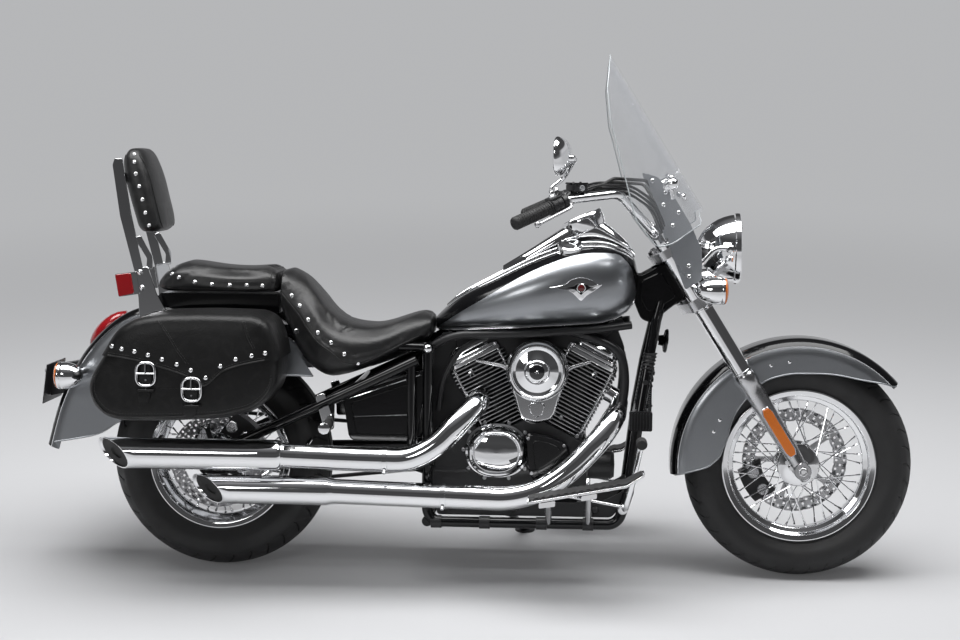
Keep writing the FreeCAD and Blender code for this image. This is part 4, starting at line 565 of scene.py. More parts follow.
def tyre(axle, r, wide, bead, rim_wide, pitches):
    half = 0.4 * wide
    shoulder = r - 0.16 * wide
    centre = (shoulder ** 2 + half ** 2 - r ** 2) / (2 * (shoulder - r))
    b = rim_wide / 2 - 0.3
    wall = rounded([(bead, b, 0), (bead + 16, b, 0), (bead + 0.42 * (r - bead), 0.515 * wide, 0),
        (bead + 0.66 * (r - bead), 0.505 * wide, 0), (shoulder, half, 0)], 30)
    rows = [(p.x, p.y, p == wall[-1], 0) for p in wall]
    for share, slanted, ring in ((0.94, 0, 0), (0.93, 1, 0), (0.8, 1, 0), (0.66, 1, 0), (0.52, 1, 0),
            (0.51, 0, 0), (0.4, 0, 0), (0.385, 0, 1), (0.315, 0, 1), (0.3, 0, 0), (0.15, 0, 0), (0, 0, 0)):
        y = share * half
        rows.append((centre + math.sqrt((r - centre) ** 2 - y * y), y, slanted, ring))
    rows += [(row_r, -y, slanted, ring) for row_r, y, slanted, ring in reversed(rows[:-1])]
    columns = (0, 0.02, 0.1, 0.12, 0.5, 0.52, 0.6, 0.62, 0.82)
    pitch = 2 * math.pi / pitches
    rings = []
    for n in range(pitches):
        for k, share in enumerate(columns):
            ring = []
            for row_r, y, slanted, round_groove in rows:
                groove = round_groove or slanted and k in ((1, 2) if y > 0 else (5, 6))
                sweep = 0.7 * min(1, abs(y) / half) ** 1.4
                ring.append(on_wheel(axle, row_r - (6 if groove else 0), y, (n + share + sweep) * pitch))
            rings.append(ring)
    return loft(rings, loop=True)


rubber = finish("tyre rubber", (0.016, 0.016, 0.017), (0.034, 0.033, 0.032), 0.5, 0.72, height=0.35,
    patch=16.0)
for word, axle, r, wide, bead, rim_wide, pitches in (("front", front_axle, 320, 130, 203, 92, 38),
        ("rear", rear_axle, 316.5, 180, 190.5, 132, 34)):
    make(word + "_tyre_treaded", word + "_wheel", rubber, [tyre(axle, r, wide, bead, rim_wide, pitches)],
        smooth=50, stands_for=word + "_tyre")


# Rims, hubs and spokes: rolled steel rims laced to forged hubs by forty crossed wire spokes with a nipple
# at each rim end, all chromed, on nuts and spindles of plated steel.
def rim(axle, bead, wide):
    lip = bead + 15
    outer = [(lip - 4, wide / 2 + 7), (lip, wide / 2 + 4), (lip, wide / 2), (bead - 0.3, wide / 2 - 1),
        (bead - 0.3, wide / 2 - 20), (bead - 16, 20)]
    inner = [(lip - 8, wide / 2 + 6), (bead - 5.3, wide / 2 + 4), (bead - 5.3, wide / 2 - 20),
        (bead - 21, 20)]
    line = outer + [(r, -y) for r, y in reversed(outer)] + [(r, -y) for r, y in inner] + inner[::-1]
    line = [(p.x, p.y) for p in rounded([(r, y, 0) for r, y in line], 4, closed=True, steps=3)]
    return turned(line, axle, (0, 1, 0), 180, loop=True)


def lacing(axle, flange_r, flange_y, bead):
    wires = []
    for side in (1, -1):
        for k in range(20):
            lead = 1 if k % 2 else -1
            turn = math.radians(18 * k + (0 if side > 0 else 9))
            start = on_wheel(axle, flange_r - 5, side * (flange_y + lead * 3.6), turn)
            end = on_wheel(axle, bead - 21.3, side * (11 + lead * 3), turn + lead * math.radians(36))
            way = (end - start).normalized()
            wires.append(tube([start, end - way * 12], 1.9, 0, 8))
            wires.append(tube([end - way * 15, end - way * 12, end - way * 1.5], (2.5, 3.2), 0, 8))
            wires.append(tube([start - way * 1.5, start + way * 7], 2.8, 0, 8))
    return wires


def hub(axle, flange_r, flange_y, half):
    side = [(14, half), (23, half), (25, half - 3), (25, flange_y + 14), (36, flange_y + 9),
        (flange_r - 12, flange_y + 6), (flange_r - 2, flange_y + 5.5), (flange_r, flange_y + 3.5),
        (flange_r, flange_y - 3.5), (flange_r - 3, flange_y - 5.5), (flange_r - 16, flange_y - 6),
        (34, flange_y - 12), (30, flange_y - 20)]
    line = side + [(r, -y) for r, y in reversed(side)]
    return turned(line, axle, (0, 1, 0), 72, loop=True)


paint(steel, "front_axle", "rear_axle")
for word, axle, bead, rim_wide, flange_r, flange_y, half in (("front", front_axle, 203, 92, 60, 36, 84.5),
        ("rear", rear_axle, 190.5, 132, 68, 44, 124)):
    wheel = word + "_wheel"
    make(word + "_rim_rolled", wheel, chrome, [rim(axle, bead, rim_wide)], smooth=50,
        stands_for=word + "_rim")
    make(word + "_hub_and_spokes", wheel, chrome, [hub(axle, flange_r, flange_y, half)]
        + lacing(axle, flange_r, flange_y, bead), stands_for=word + "_hub")
front_nut = [(19, 128), (19, 131), (15, 131.5), (14.5, 155), (12, 158), (0, 158)]
rear_nut = [(22, 156), (22, 159), (16, 159.5), (15.5, 171), (12, 174), (0, 174)]
for name, body, profile, axle in (("axle_nuts", "steering", front_nut, front_axle),
        ("rear_axle_nuts", "chassis", rear_nut, rear_axle)):
    make(name, body, chrome, [turned(profile, axle, (0, side, 0), 6) for side in (1, -1)], bevel=1)


# Brakes: a drilled steel disc riveted to a carrier on each wheel, gripped by a black calliper with bare
# pistons. The rear wheel's other side carries the toothed pulley of the rubber drive belt.
def drilled(axle, inner, outer, low, high, rows):
    """A flat ring with rows of round holes: (radius, count, hole radius, share of a step turned)."""
    edges = [inner] + [(a[0] + b[0]) / 2 for a, b in zip(rows, rows[1:])] + [outer]
    parts = []
    for (ring_r, count, hole_r, offset), near, far in zip(rows, edges, edges[1:]):
        step = math.pi / count
        for k in range(count):
            middle = (2 * k + offset) * step
            rings = [[], [], [], []]
            for a, b in circle(1, 16):
                reach = max(abs(a) / (far - ring_r if a > 0 else ring_r - near), abs(b) / (step * ring_r))
                square = (ring_r + a / reach, middle + b / reach / ring_r)
                hole = (ring_r + a * hole_r, middle + b * hole_r / ring_r)
                for ring, (r, turn), y in zip(rings, (square, hole, hole, square), (low, low, high, high)):
                    ring.append(on_wheel(axle, r, y, turn))
            parts.append(loft(rings, loop=True))
    return parts


arms = 5


def carrier(axle, y, reach):
    parts = [turned([(25, y - 5), (48, y - 5), (50, y - 3), (50, y + 3), (48, y + 5), (25, y + 5)], axle,
        (0, 1, 0), 60, True)]
    for k in range(arms):
        turn = 2 * math.pi * (k + 0.5) / arms
        rows = []
        for r, wide in ((46, 13), (60, 8), (reach - 6, 7), (reach + 10, 12)):
            rows.append([on_wheel(axle, r, y + h, turn + w / r) for h, w in ((-3, -wide), (3, -wide),
                (3, wide), (-3, wide))])
        parts.append(loft(rows))
    return parts


def rivets(axle, y, reach):
    parts = []
    for k in range(arms):
        for r in (reach + 5, 40):
            for side in (1, -1):
                spot = on_wheel(axle, r, y + side * 2.8, 2 * math.pi * (k + 0.5) / arms)
                parts.append(turned([(6, 0), (6, 0.8), (4.6, 1.5), (0, 1.5)], spot, (0, side, 0), 16))
    return parts


paint(satin_black, "front_caliper", "rear_caliper")
paint(rubber, "drive_belt")
front_holes = [(120, 30, 3.6, 0), (131, 30, 3.6, 1), (142, 30, 3.6, 0)]
rear_holes = [(106, 28, 3.6, 0), (116, 28, 3.6, 1), (127, 28, 3.6, 0)]
for word, axle, y, inner, outer, metal, spider, holes, cad in (("front", front_axle, 62, 112, 150,
        satin_metal, satin_metal, front_holes, "front_disc"), ("rear", rear_axle, -104, 97, 135, steel,
        satin_black, rear_holes, "rear_disc_and_pulley")):
    wheel = word + "_wheel"
    make(word + "_disc_drilled", wheel, metal, drilled(axle, inner, outer, y - 2.5, y + 2.5, holes),
        stands_for=cad)
    make(word + "_disc_carrier", wheel, spider, carrier(axle, y, inner), bevel=0.8)
    make(word + "_disc_rivets", wheel, chrome, rivets(axle, y, inner))
piston = [(17, 0), (17, 2), (15, 4.5), (11, 4.5), (10, 3), (0, 3)]
for word, body, axle, y, turn, reach in (("front", "steering", front_axle, 62, -150, 124),
        ("rear", "chassis", rear_axle, -104, 52, 109)):
    pistons = []
    for side in (1, -1):
        for shift in (-13, 13):
            spot = on_wheel(axle, reach, y + side * 26, math.radians(turn + shift))
            pistons.append(turned(piston, spot, (0, side, 0), 32))
        for shift in (-21.6, 21.6):
            spot = on_wheel(axle, reach + 14, y + side * 26, math.radians(turn + shift))
            pistons.append(bolt(spot, (0, side, 0), 5, 5))
    make(word + "_caliper_pistons", body, satin_metal, pistons)


def toothed(axle, r, inner, teeth):
    outer = []
    bore_line = []
    for k in range(teeth):
        for share, drop in ((0.0, 2.6), (0.2, 0), (0.5, 0), (0.7, 2.6)):
            turn = 2 * math.pi * (k + share) / teeth
            outer.append((r - drop, turn))
            bore_line.append((inner, turn))
    rows = ((outer, 95), (outer, 117), (bore_line, 117), (bore_line, 95))
    return loft([[on_wheel(axle, radius, y, turn) for radius, turn in line] for line, y in rows], loop=True)


small_pulley = Vector((-150, 0, 330))
windows = drilled(rear_axle, 26, 90, 100, 105, [(60, 7, 15, 0)])
make("belt_pulley", "rear_wheel", satin_metal, [toothed(rear_axle, 105, 88, 70)] + windows)
make("drive_pulley", "chassis", satin_metal, [toothed(small_pulley, 48, 20, 32),
    turned([(21, 96), (21, 124), (14, 126), (13, 134), (0, 134)], small_pulley, (0, 1, 0), 6)], bevel=0.8)

# Front fork: cast aluminium sliders, polished and flattened towards the axle clamps, chromed covers on the
# legs above them, and an amber reflector screwed to each slider.
rake = math.radians(32)
leg_f = 33.9


def fork_point(f, y, s):
    return Vector((982.5 + f * math.cos(rake) - s * math.sin(rake), y,
        f * math.sin(rake) + s * math.cos(rake)))


def on_fork(f, s, y):
    return fork_point(f, y, s)


paint(chrome, "fork_tubes")
paint(satin_metal, "steering_yokes")
fork_way = fork_point(0, 0, 1) - fork_point(0, 0, 0)
leg_rows = [(325, 10, 17, -4), (328, 15, 21, -3), (342, 19, 25, -1), (368, 20, 27, 0), (392, 21, 24, 1),
    (430, 24, 24.5, 1), (520, 26, 26, 0), (612, 27.5, 27.5, 0), (634, 28, 28, 0), (636, 29.5, 29.5, 0),
    (664, 29.5, 29.5, 0), (668, 28, 28, 0), (674, 25, 25, 0)]
leg = loft([[fork_point(leg_f + shift + a * deep, -120 + b * wide, s) for a, b in circle(1, 48)]
    for s, deep, wide, shift in leg_rows])
boss = turned([(12, -31), (22, -31), (24, -28), (24, 27), (22, 30), (12, 30)],
    front_axle + Vector((0, -120, 0)), (0, 1, 0), 48, True)
make("polished_sliders", "steering", satin_metal, both([leg, boss]), smooth=45, stands_for="fork_sliders")
small = []
for f, s in ((leg_f - 24, 378), (leg_f - 24, 396)):
    small.append(turned([(6, 0), (6, 26), (5, 28), (0, 28)], fork_point(f, -134, s), (0, 1, 0), 6))
small.append(turned([(5, 0), (5, 3), (4, 4), (0, 4)], fork_point(leg_f - 10, -146, 410), (0, -1, 0), 16))
for s in (677, 884):
    small.append(turned([(27.3, -3), (29, -2), (29, 2), (27.3, 3)], fork_point(leg_f, -120, s), fork_way,
        48))
small.append(turned([(20, 0), (20, 3), (17, 5), (13, 5), (12.5, 11), (0, 11)], fork_point(leg_f, -120, 1089),
    fork_way, 6))
for y in (-74, -46):
    for f in (-10, 10):
        small.append(bolt(Vector((405, y, 972)) + (fork_point(f, 0, 17) - fork_point(0, 0, 0)), fork_way,
            4.5, 6))
make("fork_fittings", "steering", chrome, both(small))
amber = finish("amber lens", (0.85, 0.22, 0.015), (0.55, 0.1, 0.008), 0.12, 0.2, coat=1.0, height=0.3,
    grain=380.0)
long_line = [(leg_f - 8, 409), (leg_f + 8, 409), (leg_f + 13.5, 424), (leg_f + 13.5, 545), (leg_f + 8, 560),
    (leg_f - 8, 560), (leg_f - 13.5, 545), (leg_f - 13.5, 424)]
make("fork_reflectors", "steering", amber, both([plate(long_line, -146, -152, 3, on_fork, 1.6)]))
case_line = [(leg_f + (f - leg_f) * 1.14, 484.5 + (s - 484.5) * 1.04) for f, s in long_line]
make("fork_reflector_cases", "steering", chrome, both([plate(case_line, -141, -148, 3, on_fork, 1.5)]))


# Front fender: pressed steel sprayed grey with a black crown, and a fine bright line where they meet. It
# bolts to pads on the fork legs, and each lower edge is rolled.
def sheet_metal(outer, inner):
    """A closed thin sheet from two grids of points, rows of equal length."""
    n = len(outer[0])
    rings = [list(a) + list(reversed(b)) for a, b in zip(outer, inner)]
    points, faces = loft(rings)
    faces = faces[:-2]
    for start in (0, len(points) - 2 * n):
        for k in range(n - 1):
            faces.append((start + k, start + k + 1, start + 2 * n - 2 - k, start + 2 * n - 1 - k))
    return points, faces


def fender_rows(low, crown, half, curve, split, sheet):
    """(radius, y) rows of the side up to the colour line, then of the crown, inset by sheet."""
    side = crown - curve
    line_turn = math.asin((split - side) / curve)
    first = math.asin(max(-1.0, min(1.0, (low - side) / curve))) if low > side else 0.0
    rows = [[], []]
    if low < side:
        rows[0] += [(low + (side - low) * k / 6, half - sheet) for k in range(6)]
    else:
        rows[0] += [(side + (curve - sheet) * math.sin(first),
            half - curve + (curve - sheet) * math.cos(first))] * 6
    for part, start, end, count in ((0, first, line_turn, 6), (1, max(first, line_turn), math.pi / 2, 8)):
        for k in range(count + 1):
            turn = start + (end - start) * k / count
            rows[part].append((side + (curve - sheet) * math.sin(turn),
                half - curve + (curve - sheet) * math.cos(turn)))
    rows[1] += [(r, -y) for r, y in reversed(rows[1])]
    return rows


def between(stations, steps):
    """Rows eased through the given ones, steps to each gap."""
    rows = []
    last = len(stations) - 1
    for i in range(last):
        a, b, c, d = (stations[min(max(i + k, 0), last)] for k in (-1, 0, 1, 2))
        for k in range(steps):
            t = k / steps
            rows.append([((2 * q) + (r - p) * t + (2 * p - 5 * q + 4 * r - s) * t * t
                + (3 * q - p - 3 * r + s) * t ** 3) / 2 for p, q, r, s in zip(a, b, c, d)])
    rows.append(list(stations[-1]))
    return rows


def dense(points, count=6):
    return [(p[0], p[1]) for p in between(points, count)]


grey_paint = finish("grey metallic paint", (0.37, 0.385, 0.405), (0.23, 0.24, 0.255), 0.28, 0.36,
    metallic=0.92, coat=0.8, height=0.03, fleck=1600.0)


def fender(word, body, grids, line, line_r, roll_r):
    """Sides, crown, bright line and rolled edges from the outer and inner grids of each part."""
    name = word + "_fender"
    make(name + "_sides", body, grey_paint, both([sheet_metal(grids[0][0], grids[1][0])]), smooth=30,
        stands_for=name)
    make(name + "_crown", body, gloss_black, [sheet_metal(grids[0][1], grids[1][1])], smooth=30)
    make(name + "_line", body, chrome, both([tube(line, line_r, 0, 8)]))
    rolled = [row[0] for row in grids[0][0]]
    make(name + "_rolled_edges", body, grey_paint, both([tube(rolled, roll_r, 0, 10)]))


edge_line = [(41.5, 350), (43, 342), (46.2, 332), (54, 306), (64, 287), (83.6, 268), (99.7, 266),
    (114.2, 263), (129.4, 246), (141.9, 236.5), (157.6, 220.6), (166, 222), (172.4, 226), (177, 240),
    (180.9, 262), (183.6, 315.6), (184.7, 350)]
grids = [[[], []], [[], []]]
fender_line = []
for turn, low in dense(edge_line):
    for depth, grid in zip((0, 2.5), grids):
        for part, rows in enumerate(fender_rows(low, 362, 82.5, 45, 341, depth)):
            grid[part].append([on_wheel(front_axle, r, y, math.radians(turn)) for r, y in rows])
    if low < 341:
        fender_line.append(on_wheel(front_axle, 341.2, 75.2, math.radians(turn)))
fender("front", "steering", grids, fender_line, 1.5, 2.2)
rivets_on = []
for turn, r in ((97, 300), (107, 300), (150, 262), (158, 262)):
    spot = on_wheel(front_axle, r, -82.6, math.radians(turn))
    rivets_on.append(turned([(5, 0), (4.6, 1.6), (2.6, 2.8), (0, 3)], spot, (0, -1, 0), 16))
make("front_fender_rivets", "steering", chrome, both(rivets_on))

# Headlight: a deep drawn bucket with a rolled trim ring round a clear lens, its reflector and bulb cap
# behind, all chromed. Bullet-shaped turn signals with amber lenses sit on a bar below it.
lamp_at = Vector((645, 0, 931))
bucket = [(92, 2), (96, 3), (99.5, 0), (100, -6), (99, -13), (95, -16), (95, -20), (93.5, -28), (89, -44),
    (82, -61), (72, -78), (58, -93), (42, -105), (26, -113), (18, -117), (0, -118)]
make("headlight_bucket", "steering", chrome, [turned(bucket, lamp_at, (1, 0, 0), 96)], smooth=40,
    stands_for="headlight")
bowl = [(90, -4), (84, -18), (72, -38), (54, -54), (34, -64), (16, -68), (15, -60), (15, -34), (10, -28),
    (0, -27)]
make("headlight_reflector", "steering", chrome, [turned(bowl, lamp_at, (1, 0, 0), 72)], smooth=40)


def clear(name, tint, face_on, edge_on, rough, grain):
    """Clear plastic or glass, see-through face on. At a glance and along its edges its pale tint grows
    opaque:
    a painted sheen that makes it brighter there.
    """
    material = finish(name, tint, [c * 0.93 for c in tint], rough, rough + 0.05, coat=0.6, grain=grain,
        height=0.02)
    tree = material.node_tree
    slope = node(tree, "LayerWeight", {"Blend": 0.35})
    # Painted sheen: the pale tint turns opaque as the surface turns away from the view.
    glancing_sheen_opacity = node(tree, "MapRange", {"Value": slope["Facing"], "To Min": face_on, "To Max": edge_on})
    feed(tree, tree.nodes["Principled BSDF"], {"Alpha": glancing_sheen_opacity["Result"]})
    return material


# The headlight glass keeps some of its pale tint even face on: painted sheen on the lens.
lamp_glass = clear("headlight glass", (0.85, 0.87, 0.9), 0.22, 0.85, 0.03, 300.0)
glass_line = [(91.4, -6), (91.4, 0), (84, 3), (60, 6.5), (30, 8), (0, 8.4), (0, 6.4), (30, 6), (60, 4.4),
    (84, 0), (89, -6)]
make("headlight_glass", "steering", lamp_glass, [turned(glass_line, lamp_at, (1, 0, 0), 96)],
    stands_for="headlight_lens")
ears = []
for side in (1, -1):
    ears.append(tube([lamp_at + Vector((-34, side * 84, 0)), lamp_at + Vector((-70, side * 97, 4)),
        fork_point(66, side * 100, 985)], 8, 20, 16))
    ears.append(turned([(12, 0), (12, 6), (9, 9), (0, 10)], lamp_at + Vector((-30, side * 88, 0)),
        (0, side, 0), 32))
ears.append(bolt(lamp_at + Vector((-8, 0, -99)), (0, 0, -1), 4.5, 3))
make("headlight_mounts", "steering", chrome, ears)


def bullet(centre, r, long, ahead):
    shell = [(r - 3, 1), (r - 1, 2.6), (r, 1), (r, -4), (r - 1.5, -6), (r, -9), (r * 0.99, -long * 0.3),
        (r * 0.94, -long * 0.46), (r * 0.84, -long * 0.64), (r * 0.66, -long * 0.82),
        (r * 0.42, -long * 0.94), (r * 0.2, -long * 0.99), (0, -long)]
    lens = [(r - 2.2, 0), (r - 2.6, 6), (r * 0.8, 10), (r * 0.5, 12.4), (0, 13.4)]
    return turned(shell, centre, (ahead, 0, 0), 64), turned(lens, centre, (ahead, 0, 0), 64)


front_shell, front_lens = bullet((590, -200, 823), 38, 74, 1)
bar = [tube([(551, -166, 823), (551, 166, 823)], 9, 0, 24)]
for side in (1, -1):
    bar.append(tube([(551, side * 158, 823), (551, side * 172, 823)], 12, 0, 24))
    bar.append(turned([(15, -9), (15, 9)], (551, side * 120, 823), (0, 1, 0), 32))
make("front_signal_shells", "steering", chrome, both([front_shell]) + bar, smooth=40,
    stands_for="front_signals")
make("front_signal_lenses", "steering", amber, both([front_lens]), smooth=40)

# Windshield: clear acrylic bent round an upright axis, screwed to flat grey plates from the fork legs and
# held in front by chromed clamps.
shield_outline = rounded([(0, 1116, 0), (102, 1116, 0), (118, 1090, 0), (242, 1090, 0), (246, 1208, 0),
    (206, 1458, 0), (164, 1548, 0), (89, 1604, 0), (0, 1622, 0)], 30, steps=6)
rows = []
for k in range(57):
    s = 1090 + (1621.5 - 1090) * (k / 56)
    widest = 0.0
    for p, q in zip(shield_outline, shield_outline[1:]):
        if min(p.y, q.y) <= s <= max(p.y, q.y) and abs(q.y - p.y) > 1e-6:
            widest = max(widest, p.x + (q.x - p.x) * (s - p.y) / (q.y - p.y))
    rows.append((s, widest))
grids = [[], []]
for s, widest in rows:
    for reach, grid in zip((259.8, 256.2), grids):
        ring = []
        for k in range(41):
            y = widest * (k - 20) / 20 * 0.998
            floor = 1116 if abs(y) < 102 else 1090 + max(0.0, (118 - abs(y)) * 1.6)
            ring.append(fork_point(-80 + math.sqrt(reach ** 2 - y * y), y, max(s, floor)))
        grid.append(ring)
# The screen's pale tint shows more towards its sides: painted sheen on the clear sheet.
acrylic = clear("clear acrylic", (0.5, 0.52, 0.55), 0.05, 0.38, 0.02, 200.0)
make("clear_screen", "steering", acrylic, [sheet_metal(*grids)], smooth=40, stands_for="windshield")
# The sheet's rim is a pale grey, nearly opaque tube: painted brightness along the clear acrylic's edge.
painted_edge_sheen = clear("polished acrylic edge", (0.6, 0.64, 0.66), 0.65, 0.95, 0.08, 500.0)
rim_line = []
for p in shield_outline[2:]:
    rim_line.append(fork_point(-80 + math.sqrt(258 ** 2 - p.x ** 2), p.x, p.y - 0.5))
make("screen_edge", "steering", painted_edge_sheen, both([tube(rim_line, 1.9, 0, 8)]))
plate_grey = finish("grey bracket enamel", (0.30, 0.315, 0.335), (0.24, 0.25, 0.27), 0.26, 0.36,
    metallic=0.35, coat=0.4)
lamp_plate = [(-116, 956), (116, 956), (116, 1047), (-116, 1047)]
holder = [plate(lamp_plate, 61, 65, 8, lambda y, s, f: fork_point(f, y, s), 1),
    tube([(486, 0, 931), (529, 0, 931)], 18, 0, 32)]
pad = [(-15, 628), (15, 628), (15, 670), (-15, 670)]
pad = plate([(leg_f + f, s) for f, s in pad], -82.8, -91, 6, on_fork, 1)
make("headlight_plate", "steering", satin_black, holder, bevel=0.6, stands_for="front_brackets")
make("fender_pads", "steering", satin_metal, both([pad]), bevel=0.6)
side_plate = [(16, 958), (70, 958), (112, 1030), (122, 1110), (122, 1196), (112, 1262), (88, 1290),
    (76, 1240), (64, 1150), (34, 1058)]
make("screen_side_plates", "steering", plate_grey, both([plate(side_plate, -147.4, -153.8, 8, on_fork, 1)]))
screws = []
for f, s in ((94, 1262), (108, 1216), (86, 1190), (110, 1150), (78, 1128), (44, 985), (58, 1010)):
    screws.append(turned([(6, 0), (5.6, 2), (3.6, 3.6), (2.2, 3.6), (2, 2.4), (0, 2.4)],
        fork_point(f, -154, s), (0, -1, 0), 20))
for s in (1180, 1240):
    y = 132
    f = -80 + math.sqrt(260 ** 2 - y * y)
    out = fork_point(f + 80, y, s) - fork_point(0, 0, s)
    for k in (1, -1):
        spot = fork_point(f, k * y, s)
        way = Vector((out.x, k * out.y, out.z))
        screws.append(turned([(9, -0.5), (9, 3), (7, 6), (3, 7.5), (0, 8)], spot, way, 24))
make("screen_screws", "steering", chrome, both(screws[:7]) + screws[7:])
cup = [(15, -4), (17, 2), (17, 22), (15, 30), (10, 36), (4, 38.5), (0, 39)]
clamps = [turned(cup, fork_point(118, -146, 1226), fork_point(0.86, -0.5, 0) - fork_point(0, 0, 0), 40)]
clamps.append(tube([fork_point(116, -150, 1190), fork_point(124, -158, 1216)], 6, 0, 16))
make("screen_clamps", "steering", chrome, both(clamps), smooth=40)

# Handlebar controls: ribbed rubber grips, switch housings and a fluid reservoir of black die-casting, with
# polished levers on pivots, clamped to the chromed bar.
paint(chrome, "handlebar")
paint(rubber, "control_cables")
bar_end = Vector((28, -425, 1008))
bar_back = (Vector((165, -322, 1070)) - bar_end).normalized()


def sleeve(rows):
    """A turned sleeve on the bar's straight end: (distance from its end, radius)."""
    return turned([(r, s) for s, r in rows], bar_end, bar_back, 48)


ribs = [(-6, 0), (-6, 13), (-4, 16), (0, 18)]
for k in range(13):
    start = 8 + k * 8
    ribs += [(start, 18), (start + 1, 17), (start + 2.4, 17), (start + 3.4, 18)]
ribs += [(113, 18), (113.5, 20.5), (117.5, 20.5), (118, 18), (118, 12.7)]
make("ribbed_grips", "steering", rubber, both([sleeve(ribs)]), stands_for="bar_controls")
case = sleeve([(119, 12.7), (119, 21), (121, 23), (134, 23), (134.6, 22.2), (136, 22.2), (136.6, 23),
    (151, 23), (153, 21), (153, 12.7)])
up = (Vector((0, 0, 1)) - bar_back * bar_back.z).normalized()
out = bar_back.cross(up)
housing_at = bar_end + bar_back * 136
block = loft([[housing_at + bar_back * a + out * (b - 2) + up * h
    for a, b in [(p.x, p.y) for p in rounded([(-16, -18, 0), (16, -18, 0), (16, 18, 0), (-16, 18, 0)], 6,
    True, 3)]] for h in (-22, 21, 23)])
perch = sleeve([(156, 12.7), (156, 19), (158, 20.7), (171, 20.7), (173, 19), (173, 12.7)])
make("switch_housings", "steering", satin_black, both([case, block, perch]), bevel=1)
plastic = finish("black plastic", (0.012, 0.012, 0.013), (0.022, 0.022, 0.024), 0.34, 0.5, height=0.3,
    grain=1400.0)
leads = []
for x, y, z in ((0, 0, 0), (5, -9, 9), (-3, 8, -11)):
    off = Vector((x, y, z))
    leads.append(tube([bar_end + bar_back * 168 + off * 0.6, Vector((230, -276, 1100)) + off,
        Vector((330, -196, 1098)) + off, Vector((402, -120, 1050)) + off, Vector((428, -84, 985)) + off],
        3.6, 40, 10))
make("bar_leads", "steering", plastic, both(leads))
red = finish("red switch plastic", (0.5, 0.02, 0.015), (0.38, 0.015, 0.012), 0.3, 0.4, coat=0.3)
make("stop_switch", "steering", red, [plate([(-8, -5), (8, -5), (8, 5), (-8, 5)], 0, 6, 2,
    lambda a, b, c: (housing_at + bar_back * a + out * b + up * (22.5 + c)), 1)])
ahead = Vector((0.8, 0, -0.1))
lever_from = bar_end + bar_back * 164.5 + ahead.normalized() * 17
lever_bend = bar_end + bar_back * 138 + ahead * 52
lever_tip = bar_end + bar_back * 12 + ahead * 62
path = rounded([lever_from, lever_bend, lever_tip], 30, steps=12)
blade = []
for i, p in enumerate(path):
    across = heading(path, i).cross(up).normalized()
    blade.append([p + across * a * (7.5 - 2 * i / len(path)) + up * b * 4.6 for a, b in circle(1, 20)])
tip = turned([(0, -9), (5, -7.5), (8, -4), (9, 0), (8, 4), (5, 7.5), (0, 9)], lever_tip,
    lever_tip - lever_bend, 24)
pivot = turned([(8, -11), (8, 11), (6, 12), (0, 12)], lever_from + bar_back * -2, up, 20)
make("hand_levers", "steering", satin_metal, both([loft(blade), tip, pivot]), smooth=50)
tank_at = Vector((187, -306, 1103))
turn = math.radians(33)
tank_x = Vector((math.cos(turn), math.sin(turn), 0))
tank_y = Vector((-math.sin(turn), math.cos(turn), 0))


def on_tank(a, b, c):
    return tank_at + tank_x * a + tank_y * b + Vector((0, 0, c))


well = [(-27, -20), (27, -20), (27, 20), (-27, 20)]
reservoir = [plate([(a * 0.94, b * 0.94) for a, b in well], -12, 7, 8, on_tank, 2),
    tube([bar_end + bar_back * 164.5, on_tank(-6, 0, -8)], 9, 0, 20)]
make("brake_reservoir", "steering", satin_black, reservoir, bevel=1)
lid = [plate(well, 7, 12, 8, on_tank, 1.5)]
for a in (-19, 19):
    lid.append(turned([(3.4, 0), (3, 1.6), (1.6, 2), (0, 1.4)], on_tank(a, 12 if a > 0 else -12, 12),
        (0, 0, 1), 16))
make("brake_reservoir_lid", "steering", gloss_black, lid)
sight = turned([(8, 0), (8, 2), (6.5, 2.6), (6, 1.6), (0, 1.6)], on_tank(4, -19.4, -3), -tank_y, 32)
make("reservoir_sight_glass", "steering", lamp_glass, [sight])

# Mirrors: rounded chromed shells with flat silvered glass, on two-part stems that screw into the switch
# housings.
mirror_turn = math.radians(8)
face = Vector((math.cos(mirror_turn), -math.sin(mirror_turn), 0))
wide = Vector((math.sin(mirror_turn), math.cos(mirror_turn), 0))
mirror_at = Vector((135, -425, 1185))


def mirror_ring(scale, depth):
    return [mirror_at + wide * (75 * scale * squared(a, 0.72)) + Vector((0, 0,
        52 * scale * squared(b, 0.78))) + face * depth for a, b in circle(1, 72)]


shell = [(0.9, 0.5), (0.93, -0.5), (0.97, 0.2), (1.0, 3), (1.0, 7), (0.97, 11), (0.9, 17), (0.78, 24),
    (0.6, 30), (0.36, 34.5), (0.15, 35.8), (0.01, 36)]
make("mirror_shells", "steering", chrome, both([loft([mirror_ring(s, d) for s, d in shell])]), smooth=50,
    stands_for="mirrors")
silvered = finish("silvered glass", (0.86, 0.88, 0.9), (0.82, 0.84, 0.87), 0.01, 0.02, metallic=1.0,
    coat=0.5, height=0.0)
make("mirror_glasses", "steering", silvered, both([loft([mirror_ring(0.01, 0.2), mirror_ring(0.91, 0.2),
    mirror_ring(0.91, 2)])]))
stem_foot = housing_at + up * 23
knee = Vector((153, -341, 1127))
stems = [tube([stem_foot, stem_foot + up * 24, knee, mirror_at + face * 40 + Vector((8, 8, -8)),
    mirror_at + face * 33 + Vector((0, 0, -6))], (6.2, 4.6), 22, 20)]
stems.append(turned([(11, 0), (11, 6), (8, 8), (8, 17), (6, 19)], stem_foot, up, 6))
stems.append(turned([(0, -11), (7, -9), (10, -3), (10, 3), (7, 9), (0, 11)],
    mirror_at + face * 38 + Vector((0, 0, -6)), (0.1, 1, 0.2), 24))
make("mirror_stems", "steering", chrome, both(stems), smooth=50)

